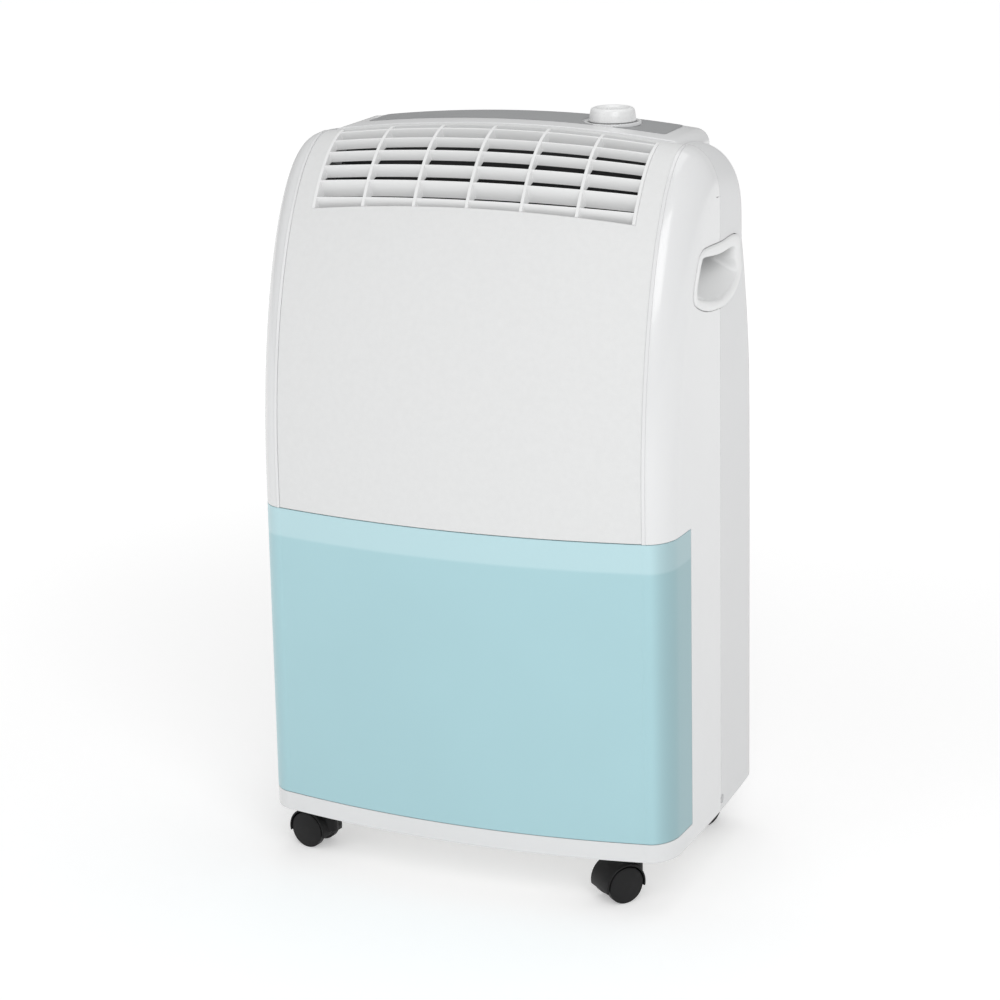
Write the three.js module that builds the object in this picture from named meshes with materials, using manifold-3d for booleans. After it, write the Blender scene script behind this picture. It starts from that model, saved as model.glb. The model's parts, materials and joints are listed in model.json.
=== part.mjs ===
// Portable compressor dehumidifier on four twin-wheel castors.
// Millimetres, +Z up, front facing -Y. Shapes are drawn with the casing centred on x = 0 and the
// castor line near y = 0; the last lines move them so that the origin is on the floor under the
// middle of the whole object, mains lead included.
import * as THREE from 'three';
import { mergeVertices } from 'three/addons/utils/BufferGeometryUtils.js';
import Module from 'manifold-3d';

const wasm = await Module();
wasm.setup();

// ---- driving dimensions -------------------------------------------------------------------
const BASE_Z = 42;              // underside of the casing
const TANK_Z = [57.5, 296.6];   // bottom and top of the tank's front wall
const OPENING_Z = [57, 297];    // tank opening in the front casing
const CREASE_X = 150;           // half width of the bowed middle section
const HALF_WIDTH = 178;         // widest point of the side faces
const WIDEST_Y = 90;
const SIDE_RADIUS = 1660;       // the sides bow gently, seen from above
const TOP_TAPER = 0.03;         // the width shrinks by this much over the body's height
const CROWN = 14.7;             // how far the middle section stands proud of the creases
const TOP_CROWN = 0.72;         // share of the crown left over the top
const FRONT_Y = -89.6;          // front at the creases
const SHOULDER_START_Z = 330;   // the front leaves the vertical here
const CREST = { y: 15, z: 574 };
const REAR_Y = 107;
const REAR_SHOULDER = { y: 106, z: 510 };
const SEAM_Y = 23;              // joint between the front and the rear casing
const TANK_SIDE_Y = -41;        // the tank wraps round the corners up to here
const FRONT_WALL = 4.6;
const REAR_WALL = 2.6;
const PANEL_WALL = 2.4;
const TANK_WALL = 2.5;
const GAP = 0.3;                // clearance between neighbours
const GRILLE = { halfX: 129.5, columns: 6, rib: 2, ribDepth: 3.5,
  low: { y: -47.5, z: 524.1 }, high: { y: 8.8, z: 573.3 } };
const LOUVRE = { lean: 20, thickness: 1.6 };
const LOUVRES = [   // place on the shoulder curve and blade length, from the lowest up
  { t: 0.612, length: 13.2 }, { t: 0.669, length: 14 }, { t: 0.726, length: 10.4 },
  { t: 0.788, length: 8.5 }, { t: 0.855, length: 8 }, { t: 0.926, length: 8.2 },
];
const CONSOLE = { halfX: 144.4, y: [18.6, 88], z: 548, topZ: 585, drop: 10.4, endRadius: 12 };
const KNOB = { x: 75, y: 60, baseR: 18, topR: 13.5, height: 9.8, lift: 1.6, hole: 5 };
const SPINDLE = { radius: 3, length: 23 };
const DECK_Z = [300, 303];      // shelf between the tank bay and the fan chamber
const PARTITION_Y = [-5, -2];
const FAN = { z: 415, radius: 84, blades: 12, ringWidth: 12, ringY: [18, 21], shaftR: 3, shaftY: -44,
  hubR: 12, hubY: -31, blade: { size: [14, 34, 1.6], pitch: 35 } };
const COIL = { halfX: 105, z: [322, 505], pitch: 20 };
const COMPRESSOR = { x: 62, y: 52, radius: 48, z: [62, 262],
  terminals: { depth: 8, halfY: 12, z: [150, 184] } };
const GROMMET = { angles: [30, 150, 270], radius: 8, circle: 38 };
const CAPACITOR = { x: -60, y: 40, radius: 18, topZ: 130 };
const STEM_R = 4;               // castor stems
const CASTOR = { x: 131, y: [-60, 73], trail: 14.3, axleZ: 15, wheelR: 15, hoodR: 17.5, halfWidth: 12.7 };
const INTAKE = { halfX: 108, z: [326, 506] };
const HANDLE = {   // outlines as (y, z): the raised rim and the pocket inside it
  outer: [[62, 500.5], [24, 502], [-8, 503], [-17, 501.5], [-22.5, 497.5], [-27, 489.5], [-31.5, 480],
    [-33.8, 470.5], [-29.5, 463.5], [-10, 456], [11, 452.8], [32, 452], [52, 456], [66, 464],
    [72, 473], [71, 479]],
  inner: [[55, 492.5], [20.6, 493.1], [-13, 496.5], [-19, 494], [-23.2, 487.2], [-27.5, 478.8],
    [-28.8, 472.3], [-25, 468.5], [-6.2, 463.3], [17.7, 459.5], [31.1, 460], [51.2, 464.9],
    [62.8, 472.9], [58.7, 482.7]],
  centre: { y: 18, z: 478 }, width: 106, height: 51, rim: 1.5, backX: 146, floorX: 148.5,
};

const SIDES = [['left', -1], ['right', 1]];
const deg = THREE.MathUtils.degToRad;
const lerp = THREE.MathUtils.lerp;
const clamp = THREE.MathUtils.clamp;

// ---- solids -------------------------------------------------------------------------------
function solid(geometry) {
  const bare = new THREE.BufferGeometry();
  bare.setAttribute('position', geometry.getAttribute('position').clone());
  if (geometry.index) bare.setIndex(geometry.index.clone());
  const merged = mergeVertices(bare, 1e-4);
  const index = merged.index.array;
  const triangles = [];
  for (let i = 0; i < index.length; i += 3) {
    const [a, b, c] = [index[i], index[i + 1], index[i + 2]];
    if (a !== b && b !== c && a !== c) triangles.push(a, b, c);
  }
  return new wasm.Manifold(new wasm.Mesh({
    numProp: 3,
    vertProperties: new Float32Array(merged.getAttribute('position').array),
    triVerts: new Uint32Array(triangles),
  }));
}

function geometryOf(manifold) {
  const mesh = manifold.getMesh();
  const geometry = new THREE.BufferGeometry();
  geometry.setAttribute('position', new THREE.BufferAttribute(mesh.vertProperties, mesh.numProp));
  geometry.setIndex(new THREE.BufferAttribute(mesh.triVerts, 1));
  geometry.computeVertexNormals();
  return geometry;
}

const join = (first, ...rest) => rest.reduce((sum, piece) => sum.add(piece), first);
const cut = (first, ...rest) => rest.reduce((left, piece) => left.subtract(piece), first);

function box([x0, x1], [y0, y1], [z0, z1]) {
  const geometry = new THREE.BoxGeometry(x1 - x0, y1 - y0, z1 - z0);
  return solid(geometry.translate((x0 + x1) / 2, (y0 + y1) / 2, (z0 + z1) / 2));
}

// Prisms: an outline pushed along one axis. Outlines are (y, z), (z, x) and (x, y) points.
const AXES = {
  x: [new THREE.Vector3(0, 1, 0), new THREE.Vector3(0, 0, 1), new THREE.Vector3(1, 0, 0)],
  y: [new THREE.Vector3(0, 0, 1), new THREE.Vector3(1, 0, 0), new THREE.Vector3(0, 1, 0)],
  z: [new THREE.Vector3(1, 0, 0), new THREE.Vector3(0, 1, 0), new THREE.Vector3(0, 0, 1)],
};

function prism(axis, outline, [from, to], curveSegments = 8) {
  const shape = outline instanceof THREE.Shape
    ? outline : new THREE.Shape(outline.map(([a, b]) => new THREE.Vector2(a, b)));
  const options = { depth: to - from, bevelEnabled: false, curveSegments };
  const geometry = new THREE.ExtrudeGeometry(shape, options);
  geometry.translate(0, 0, from);
  return solid(geometry.applyMatrix4(new THREE.Matrix4().makeBasis(...AXES[axis])));
}

// A body turned about an axis through `at`; the profile is (radius, distance along the axis).
function turned(axis, profile, at, segments = 24, phase = 0) {
  const points = profile.map(([r, h]) => new THREE.Vector2(r, h));
  const geometry = new THREE.LatheGeometry(points, segments, phase);
  if (axis === 'x') geometry.rotateZ(-Math.PI / 2);
  if (axis === 'z') geometry.rotateX(Math.PI / 2);
  return outward(solid(geometry.translate(...at)), geometry);
}

// LatheGeometry faces follow the profile's direction; turn them out if they came in.
function outward(manifold, geometry) {
  if (manifold.volume() > 0) return manifold;
  const index = geometry.index.array;
  for (let i = 0; i < index.length; i += 3) [index[i], index[i + 1]] = [index[i + 1], index[i]];
  return solid(geometry);
}

const rod = (axis, radius, [from, to], at, segments = 16) =>
  turned(axis, [[0, from], [radius, from], [radius, to], [0, to]], at, segments);

// A solid through a row of cross-sections with the same number of points.
function swept(sections) {
  const count = sections[0].length;
  const faces = [];
  for (let s = 0; s + 1 < sections.length; s++) {
    for (let i = 0; i < count; i++) {
      const [a, b] = [s * count + i, s * count + (i + 1) % count];
      faces.push(a, b, b + count, a, b + count, a + count);
    }
  }
  const last = (sections.length - 1) * count;
  for (let i = 1; i + 1 < count; i++) faces.push(0, i + 1, i, last, last + i, last + i + 1);
  const geometry = new THREE.BufferGeometry();
  geometry.setAttribute('position', new THREE.Float32BufferAttribute(sections.flat(2), 3));
  geometry.setIndex(faces);
  return outward(solid(geometry), geometry);
}

// A round tube along a smooth path.
function pipe(points, radius, steps, sides = 8) {
  const path = new THREE.CatmullRomCurve3(points.map((p) => new THREE.Vector3(...p)), false, 'centripetal');
  const section = new THREE.Shape().absarc(0, 0, radius, 0, 2 * Math.PI);
  return solid(new THREE.ExtrudeGeometry(section, { steps, extrudePath: path, curveSegments: sides / 2 }));
}

// ---- the body's outer form ----------------------------------------------------------------
// Side profile: a chain of points up the front, over the crest and down the rear. Each point has
// an outward normal, how deep the side edge is rounded there, how round it is, and its crown.
const FRONT_CURVE = new THREE.CubicBezierCurve(
  new THREE.Vector2(FRONT_Y, SHOULDER_START_Z), new THREE.Vector2(FRONT_Y, 470),
  new THREE.Vector2(-35, CREST.z), new THREE.Vector2(CREST.y, CREST.z));
const REAR_CURVE = new THREE.CubicBezierCurve(
  new THREE.Vector2(CREST.y, CREST.z), new THREE.Vector2(70, CREST.z),
  new THREE.Vector2(REAR_SHOULDER.y, 560), new THREE.Vector2(REAR_SHOULDER.y, REAR_SHOULDER.z));
const EDGE = { front: 24, top: 38, rear: 12 };   // depth of the rounded edge
const FRONT_LEVELS = [OPENING_Z[0], OPENING_Z[1]];
const REAR_LEVELS = [OPENING_Z[0], 300, 350, 410, 460];
const FRONT_STEPS = 7;
const REAR_STEPS = 4;

function curvePoint(curve, t) {
  const p = curve.getPoint(t);
  const tangent = curve.getTangent(t);
  return { y: p.x, z: p.y, ny: -tangent.y, nz: tangent.x };
}

function frontPoint(t) {
  const crown = lerp(1, TOP_CROWN, t);
  return { ...curvePoint(FRONT_CURVE, t), depth: lerp(EDGE.front, EDGE.top, t), power: 2, crown };
}

function rearPoint(t) {
  return { ...curvePoint(REAR_CURVE, t), depth: EDGE.top, power: 2, crown: TOP_CROWN * (1 - t) };
}

function rearWallPoint(z) {
  const rise = clamp((z - 300) / 195, 0, 1);
  const y = lerp(REAR_Y, REAR_SHOULDER.y, (z - BASE_Z) / (REAR_SHOULDER.z - BASE_Z));
  const depth = Math.max(EDGE.rear, 5 + 33 * rise * rise);
  return { y, z, ny: 1, nz: 0, depth, power: lerp(4, 2, rise), crown: 0 };
}

function sideChain(bottom) {
  const front = [bottom, ...FRONT_LEVELS].map((z) => ({ ...frontPoint(0), y: FRONT_Y, z, ny: -1, nz: 0 }));
  for (let i = 0; i < FRONT_STEPS; i++) front.push(frontPoint(i / FRONT_STEPS));
  const rear = [bottom, ...REAR_LEVELS].map(rearWallPoint);
  for (let i = REAR_STEPS; i > 0; i--) rear.push(rearPoint(i / REAR_STEPS));
  return { front, crest: frontPoint(1), rear };
}

const taper = (z) => 1 - TOP_TAPER * (z - BASE_Z) / (CREST.z - BASE_Z);
const sideReach = (y) => HALF_WIDTH - (y - WIDEST_Y) ** 2 / (2 * SIDE_RADIUS) - CREASE_X;

// x runs to the crease; u runs from 0 at the crease to 1 at the side face.
function skinPoint(point, { x, u }, inset) {
  const round = point.depth * (1 - (1 - u ** point.power) ** (1 / point.power));
  const crown = point.crown * CROWN * (1 - (x / CREASE_X) ** 2);
  const shift = inset + round - crown;
  const y = point.y - point.ny * shift;
  const z = point.z - point.nz * shift;
  return { y, z, x: sideX(x, u, y, z, inset) };
}

const sideX = (x, u, y, z, inset) => Math.sign(x) * (Math.abs(x) + u * (sideReach(y) - inset)) * taper(z);

const CROWN_STATIONS = [-150, -100, -50, 0, 50, 100, 150];
const EDGE_STATIONS = [0.45, 0.78, 0.95, 1];
const STATIONS = [
  ...EDGE_STATIONS.toReversed().map((u) => ({ x: -CREASE_X, u })),
  ...CROWN_STATIONS.map((x) => ({ x, u: 0 })),
  ...EDGE_STATIONS.map((u) => ({ x: CREASE_X, u })),
];
const SIDE_COLUMNS = 4;   // strips across each side face, so that it can bow

// The whole body shape, moved in by `inset`, from `bottom` up.
function skin(inset, bottom = BASE_Z) {
  const chain = sideChain(bottom);
  const vertices = [];
  const faces = [];
  const add = ({ x, y, z }) => vertices.push(x, y, z) / 3 - 1;
  const quad = (a, b, c, d) => faces.push(a, b, c, a, c, d);
  const rings = STATIONS.map((station) => {
    const front = chain.front.map((p) => skinPoint(p, station, inset));
    const rear = chain.rear.map((p) => skinPoint(p, station, inset));
    const floor = [];
    for (let i = 1; i < SIDE_COLUMNS; i++) {
      const y = lerp(rear[0].y, front[0].y, i / SIDE_COLUMNS);
      floor.push({ x: sideX(station.x, station.u, y, bottom, inset), y, z: bottom });
    }
    return [...front, skinPoint(chain.crest, station, inset), ...rear.toReversed(), ...floor];
  });
  const ids = rings.map((ring) => ring.map(add));
  const count = rings[0].length;
  for (let r = 0; r + 1 < rings.length; r++) {
    for (let i = 0; i < count; i++) {
      const j = (i + 1) % count;
      quad(ids[r][i], ids[r + 1][i], ids[r + 1][j], ids[r][j]);
    }
  }
  capSide(rings[0], ids[0], chain.front.length, -1, { add, faces, inset });
  capSide(rings.at(-1), ids.at(-1), chain.front.length, 1, { add, faces, inset });
  const geometry = new THREE.BufferGeometry();
  geometry.setAttribute('position', new THREE.Float32BufferAttribute(vertices, 3));
  geometry.setIndex(faces);
  return outward(solid(geometry), geometry);
}

// A side face: rows of points between the front and the rear edge of the last ring.
function capSide(ring, ids, levels, side, { add, faces, inset }) {
  const rearIndex = (level) => 2 * levels - level;
  const rows = [];
  for (let level = 0; level < levels; level++) {
    const [a, b] = [ring[level], ring[rearIndex(level)]];
    const row = [ids[level]];
    for (let i = 1; i < SIDE_COLUMNS; i++) {
      const y = lerp(a.y, b.y, i / SIDE_COLUMNS);
      const z = lerp(a.z, b.z, i / SIDE_COLUMNS);
      const floorId = ids[2 * levels + SIDE_COLUMNS - i];
      row.push(level === 0 ? floorId : add({ x: sideX(side * CREASE_X, 1, y, z, inset), y, z }));
    }
    rows.push([...row, ids[rearIndex(level)]]);
  }
  const face = (a, b, c) => faces.push(...(side > 0 ? [a, b, c] : [a, c, b]));
  for (let r = 0; r + 1 < rows.length; r++) {
    for (let i = 0; i < SIDE_COLUMNS; i++) {
      face(rows[r][i], rows[r][i + 1], rows[r + 1][i + 1]);
      face(rows[r][i], rows[r + 1][i + 1], rows[r + 1][i]);
    }
  }
  const last = rows.at(-1);
  for (let i = 0; i < SIDE_COLUMNS; i++) face(last[i], last[i + 1], ids[levels]);
}

// Horizontal plate that follows the body's outline, `inset` inside it.
function planPlate(inset, levels) {
  const chain = sideChain(BASE_Z);
  const front = STATIONS.map((station) => skinPoint(chain.front[0], station, inset));
  const rear = STATIONS.toReversed().map((station) => skinPoint(chain.rear[0], station, inset));
  return prism('z', [...front, ...rear].map(({ x, y }) => [x, y]), levels);
}

const FAR = 300;                // beyond the object on every side
const EVERYWHERE = [-FAR, FAR];
const MAX_Z = 700;
const OUTER = skin(0);
const openSkin = (inset) => skin(inset, BASE_Z - 10);

// A block whose sides follow the creases, `inset` inside them.
function betweenCreases(inset, [y0, y1], [z0, z1]) {
  const half = (z) => CREASE_X * taper(z) - inset;
  return prism('y', [[z0, -half(z0)], [z1, -half(z1)], [z1, half(z1)], [z0, half(z0)]], [y0, y1]);
}

// ---- casing -------------------------------------------------------------------------------
const PANEL_TOP_Y = 18;
const PANEL_SEAT = 10;          // width of the ledge that the front panel lies on
const SEAM_SCREW = { y: 25.5, z: 51 };
const REAR_SCREW = { x: 140, z: 50 };
const SCREW = { head: 3.2, headHeight: 1, shank: 1.5, length: 13, sunk: 0.2, well: 1.4, around: 0.4 };
const CLEAT = { halfX: 12, clearance: 2.6, post: 14, lip: 11, lipDepth: 3, root: 1.5 };
const REAR_BORE = [90, FAR];

function grilleRegion(inset) {
  const along = new THREE.Vector2(GRILLE.high.y - GRILLE.low.y, GRILLE.high.z - GRILLE.low.z).normalize();
  const low = [GRILLE.low.y + along.x * inset, GRILLE.low.z + along.y * inset];
  const high = [GRILLE.high.y - along.x * inset, GRILLE.high.z - along.y * inset];
  const reach = 22;
  const outline = [
    [low[0] + along.y * reach, low[1] - along.x * reach], [high[0], high[1] - reach],
    [high[0], high[1] + reach], [low[0] - along.y * reach, low[1] + along.x * reach],
  ];
  return prism('x', outline, [-GRILLE.halfX + inset, GRILLE.halfX - inset]);
}

const consoleFootprint = () => box([-CONSOLE.halfX - GAP, CONSOLE.halfX + GAP],
  [CONSOLE.y[0] - GAP, CONSOLE.y[1] + GAP], [CONSOLE.z - 20, MAX_Z]);

const handleOpening = (side) => prism('x', HANDLE.outer, side > 0 ? [120, FAR] : [-FAR, -120])
  .intersect(openSkin(-20));

// A counterbored hole centred on the casing's outer face.
function screwHole(axis, at) {
  const deep = SCREW.length + 5;
  return join(rod(axis, SCREW.head + SCREW.around, [-SCREW.well, SCREW.well], at),
    rod(axis, SCREW.shank + GAP, [-deep, deep], at));
}

const seamScrewX = sideReach(SEAM_SCREW.y) + CREASE_X;
const seamScrewHole = (side) => screwHole('x', [side * seamScrewX, SEAM_SCREW.y, SEAM_SCREW.z]);
const rearScrewHole = (side) => screwHole('y', [side * REAR_SCREW.x, REAR_Y, REAR_SCREW.z]);

function frontCasing() {
  const shell = OUTER.subtract(openSkin(FRONT_WALL))
    .intersect(box(EVERYWHERE, [-FAR, SEAM_Y - GAP / 2], [0, MAX_Z]));
  const rebate = openSkin(-1).subtract(openSkin(PANEL_WALL + GAP))
    .intersect(betweenCreases(0, [-FAR, CONSOLE.y[0] + 1], [OPENING_Z[1], MAX_Z]));
  const window = betweenCreases(PANEL_SEAT, [-FAR, PANEL_TOP_Y - PANEL_SEAT],
    [OPENING_Z[1] + PANEL_SEAT, MAX_Z]);
  const tankOpening = box(EVERYWHERE, [-FAR, TANK_SIDE_Y], OPENING_Z);
  return cut(shell, rebate, window, tankOpening, consoleFootprint(), grilleRegion(-GAP),
    ...SIDES.flatMap(([, side]) => [handleOpening(side), seamScrewHole(side)]));
}

function frontPanel() {
  const sheet = OUTER.subtract(openSkin(PANEL_WALL));
  const outline = betweenCreases(GAP, [-FAR, PANEL_TOP_Y], [OPENING_Z[1] + GAP, MAX_Z]);
  return sheet.intersect(outline).subtract(grilleRegion(-GAP));
}

// The outlet: leaning louvres whose upper edges are flush, crossed by ribs with a saw-toothed rear.
const shoulderPoint = (t, x, inset = 0) => skinPoint(frontPoint(t), { x, u: 0 }, inset);

// A point of a louvre's section: `along` it from the upper edge, `across` its thickness.
function louvrePoint(t, x, along, across) {
  const [sin, cos] = [Math.sin(deg(LOUVRE.lean)), Math.cos(deg(LOUVRE.lean))];
  const { y, z } = shoulderPoint(t, x, GAP);
  return [y + sin * along + cos * across, z - cos * along + sin * across];
}

function louvre({ t, length }) {
  const corners = [[0, 0], [length, 0], [length, LOUVRE.thickness], [0, LOUVRE.thickness]];
  const sections = [];
  for (let i = -GRILLE.columns; i <= GRILLE.columns; i++) {
    const x = i / GRILLE.columns * (GRILLE.halfX - GRILLE.rib / 3);
    sections.push(corners.map((corner) => [x, ...louvrePoint(t, x, ...corner)]));
  }
  return swept(sections).intersect(grilleRegion(0));
}

function rib(x) {
  const flush = [0.54, ...LOUVRES.map(({ t }) => t), 1];
  const front = flush.map((t) => shoulderPoint(t, x));
  const behind = (t) => shoulderPoint(t, x, GRILLE.ribDepth);
  const rear = LOUVRES.flatMap(({ t, length }, i) => {
    const [y, z] = louvrePoint(t, x, length - GAP, LOUVRE.thickness / 2);
    return [behind(flush[i]), { y, z }];
  });
  const outline = [...front, behind(1), ...rear.toReversed()].map(({ y, z }) => [y, z]);
  return prism('x', outline, [x - GRILLE.rib / 2, x + GRILLE.rib / 2]).intersect(grilleRegion(0));
}

function outletGrille() {
  const pitch = (2 * GRILLE.halfX - GRILLE.rib) / GRILLE.columns;
  const ribs = [];
  for (let i = 0; i <= GRILLE.columns; i++) ribs.push(rib((i - GRILLE.columns / 2) * pitch));
  return join(...ribs, ...LOUVRES.map(louvre));
}

function rearCasing() {
  const shell = OUTER.subtract(openSkin(REAR_WALL))
    .intersect(box(EVERYWHERE, [SEAM_Y + GAP / 2, FAR], [0, MAX_Z]));
  const intake = box([-INTAKE.halfX - GAP, INTAKE.halfX + GAP], REAR_BORE,
    [INTAKE.z[0] - GAP, INTAKE.z[1] + GAP]);
  const filterSlot = box([-FILTER.halfX - 1, FILTER.halfX + 1], [FILTER.y[0] - GAP, FILTER.y[1] + GAP],
    [REAR_SHOULDER.z, MAX_Z]);
  const drain = rod('y', DRAIN.hole, REAR_BORE, [DRAIN.x, 0, DRAIN.z]);
  const cordHole = rod('y', GLAND.neck + GAP, REAR_BORE, [GLAND.x, 0, GLAND.z]);
  const body = cut(shell, intake, filterSlot, consoleFootprint(), drain, cordHole,
    ...SIDES.flatMap(([, side]) => [handleOpening(side), seamScrewHole(side), rearScrewHole(side)]));
  return join(body, ...cordCleats());
}

// Two moulded hooks on the back that the mains cord is coiled on.
function cordCleats() {
  const x = [CORD.x - CLEAT.halfX, CORD.x + CLEAT.halfX];
  const span = (a, b) => [Math.min(a, b), Math.max(a, b)];
  return [1, -1].flatMap((way) => {
    const inside = CORD.z + way * (CORD.coilR - CORD.radius - CLEAT.clearance);
    const post = span(inside, inside - way * CLEAT.post);
    const lip = span(inside - way, inside + way * CLEAT.lip);
    return [box(x, [REAR_Y - CLEAT.root, CORD.cleatY], post),
      box(x, [CORD.cleatY - CLEAT.lipDepth, CORD.cleatY], lip)];
  });
}

// The grip: a rim standing proud of the side face, with a pocket sunk into it.
function handleCup(side) {
  const { centre, width, height, rim, backX, floorX } = HANDLE;
  const beyond = (x) => (side > 0 ? [x, FAR] : [-FAR, -x]);
  const outline = HANDLE.outer.map(([y, z]) => [
    lerp(centre.y, y, 1 - 2 * GAP / width), lerp(centre.z, z, 1 - 2 * GAP / height)]);
  return prism('x', outline, beyond(backX)).intersect(openSkin(-rim))
    .subtract(prism('x', HANDLE.inner, beyond(floorX)));
}

// A pan-head screw whose hole starts at `surface` along its axis.
function screwProfile(surface) {
  const top = surface - SCREW.sunk;
  const seat = top - SCREW.headHeight;
  const tip = surface - SCREW.length;
  return [[0, tip], [SCREW.shank, tip], [SCREW.shank, seat], [SCREW.head, seat], [SCREW.head, top], [0, top]];
}

const seamScrew = (side) => turned('x', screwProfile(seamScrewX).map(([r, h]) => [r, side * h]),
  [0, SEAM_SCREW.y, SEAM_SCREW.z], 12);
const rearScrew = (side) => turned('y', screwProfile(REAR_Y), [side * REAR_SCREW.x, 0, REAR_SCREW.z], 12);

// ---- console ------------------------------------------------------------------------------
const CONSOLE_STATIONS = [-100, -60, -20, 20, 60, 100];
const OVERLAY = { halfX: 122, frontY: 52, rearY: 84.5, bow: [-20, 36], lift: 0.9 };
const HUMIDISTAT = { halfX: 20, halfY: 18, height: 24, drop: 12, bore: 14 };
const consoleTop = (x) => CONSOLE.topZ - CONSOLE.drop * (x / CREASE_X) ** 2;

function consoleOutline(grow, bottom) {
  const points = [];
  const half = CONSOLE.halfX + grow;
  const radius = CONSOLE.endRadius + grow;
  const steps = 4;
  const end = CONSOLE.halfX - CONSOLE.endRadius;
  for (const side of [-1, 1]) {
    for (let i = 0; i <= steps; i++) {
      const angle = (side < 0 ? i : steps - i) / steps * Math.PI / 2;
      const z = consoleTop(end) - CONSOLE.endRadius + radius * Math.sin(angle);
      points.push([z, side * (end + radius * Math.cos(angle))]);
    }
    if (side < 0) points.push(...CONSOLE_STATIONS.map((x) => [consoleTop(x) + grow, x]));
  }
  return [[bottom, -half], ...points, [bottom, half]];
}

function controlConsole() {
  const outer = prism('y', consoleOutline(0, CONSOLE.z), CONSOLE.y);
  const inner = prism('y', consoleOutline(-REAR_WALL, CONSOLE.z - 5),
    [CONSOLE.y[0] + REAR_WALL, CONSOLE.y[1] - REAR_WALL]);
  return cut(outer, inner, rod('z', KNOB.hole, [CONSOLE.z, MAX_Z], [KNOB.x, KNOB.y, 0]));
}

function consoleOverlay() {
  const { halfX, frontY, rearY, bow, lift } = OVERLAY;
  const outline = new THREE.Shape();
  outline.moveTo(-halfX, frontY);
  outline.quadraticCurveTo(...bow, halfX, frontY);
  outline.lineTo(halfX, rearY);
  outline.lineTo(-halfX, rearY);
  const sheet = prism('y', consoleOutline(lift, CONSOLE.z), [CONSOLE.y[0] + 1.4, CONSOLE.y[1] - 2])
    .subtract(prism('y', consoleOutline(GAP, CONSOLE.z - 5), [CONSOLE.y[0] - 5, CONSOLE.y[1] + 5]));
  return cut(prism('z', outline, [CONSOLE.z + 20, MAX_Z], 6).intersect(sheet),
    rod('z', KNOB.baseR + 2, [CONSOLE.z, MAX_Z], [KNOB.x, KNOB.y, 0], 20));
}

function humidistatKnob() {
  const { baseR, topR } = KNOB;
  const base = consoleTop(KNOB.x) + KNOB.lift;
  const top = base + KNOB.height;
  const foot = base - SPINDLE.length;
  const profile = [[0, foot], [SPINDLE.radius, foot], [SPINDLE.radius, base], [baseR, base],
    [baseR - 0.4, base + 5], [baseR - 1.7, top - 1.8], [topR + 1, top - 0.3], [topR, top],
    [topR - 2.5, top - 1.2], [0, top - 1.6]];
  return turned('z', profile, [KNOB.x, KNOB.y, 0], 20);
}

function humidistatBody() {
  const { halfX, halfY, height, drop, bore } = HUMIDISTAT;
  const top = CONSOLE.topZ - drop;
  return box([KNOB.x - halfX, KNOB.x + halfX], [KNOB.y - halfY, KNOB.y + halfY], [top - height, top])
    .subtract(rod('z', SPINDLE.radius + GAP, [top - bore, top + 5], [KNOB.x, KNOB.y, 0]));
}

// ---- intake -------------------------------------------------------------------------------
const FILTER = { halfX: 104, y: [99.2, 102.8], z: [318, 536], pocket: 1.3, tab: { halfX: 22, height: 14 } };
const SLAT = { y: [103.8, 106.2], columns: 3, rows: 9, border: 8, bar: 6 };

function intakeGrille() {
  const { y, columns, rows, border, bar } = SLAT;
  const height = (INTAKE.z[1] - INTAKE.z[0] - 2 * border + bar) / rows;
  const width = (2 * INTAKE.halfX - 2 * border + bar) / columns;
  const slots = [];
  for (let r = 0; r < rows; r++) {
    for (let c = 0; c < columns; c++) {
      const z = INTAKE.z[0] + border + r * height;
      const x = -INTAKE.halfX + border + c * width;
      slots.push(box([x, x + width - bar], [y[0] - 1, y[1] + 1], [z, z + height - bar]));
    }
  }
  return cut(box([-INTAKE.halfX, INTAKE.halfX], y, INTAKE.z), ...slots);
}

function airFilter() {
  const { halfX, y, z, pocket, tab } = FILTER;
  const frame = box([-halfX, halfX], y, z);
  const pockets = [];
  const [columns, rows, rib] = [3, 3, 4];
  const width = (2 * halfX - rib) / columns;
  const height = (z[1] - z[0] - rib) / rows;
  for (let c = 0; c < columns; c++) {
    for (let r = 0; r < rows; r++) {
      const x = [-halfX + rib + c * width, -halfX + (c + 1) * width];
      const level = [z[0] + rib + r * height, z[0] + (r + 1) * height];
      pockets.push(box(x, [y[0] - 1, y[0] + pocket], level));
      pockets.push(box(x, [y[1] - pocket, y[1] + 1], level));
    }
  }
  return join(cut(frame, ...pockets), box([-tab.halfX, tab.halfX], y, [z[1] - 1, z[1] + tab.height]));
}

// ---- water tank ---------------------------------------------------------------------------
const TANK_INNER = 8;           // the part inside the casing is this much narrower on each side
const TANK_REAR_Y = -8;
const TANK_REAR_TOP = 290;
const TANK_STEP_Y = TANK_SIDE_Y - 0.6;   // where the tank narrows to go inside the casing
const LID_Z = [290.3, 292.8];
const LID = { frontY: -44.5, halfX: 162, inlet: { halfX: 20, y: [-38, -13] } };
const FLOAT = {   // swings on pins between two lugs under the lid
  x: -120, y: -20, z: 281, barrelR: 4, barrelX: 9.6, pinR: 2, pinX: 13.6, lugX: 12, lug: 6,
  pad: { halfX: 25, y: [-54, -24], z: [-43, -20] },
};

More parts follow.
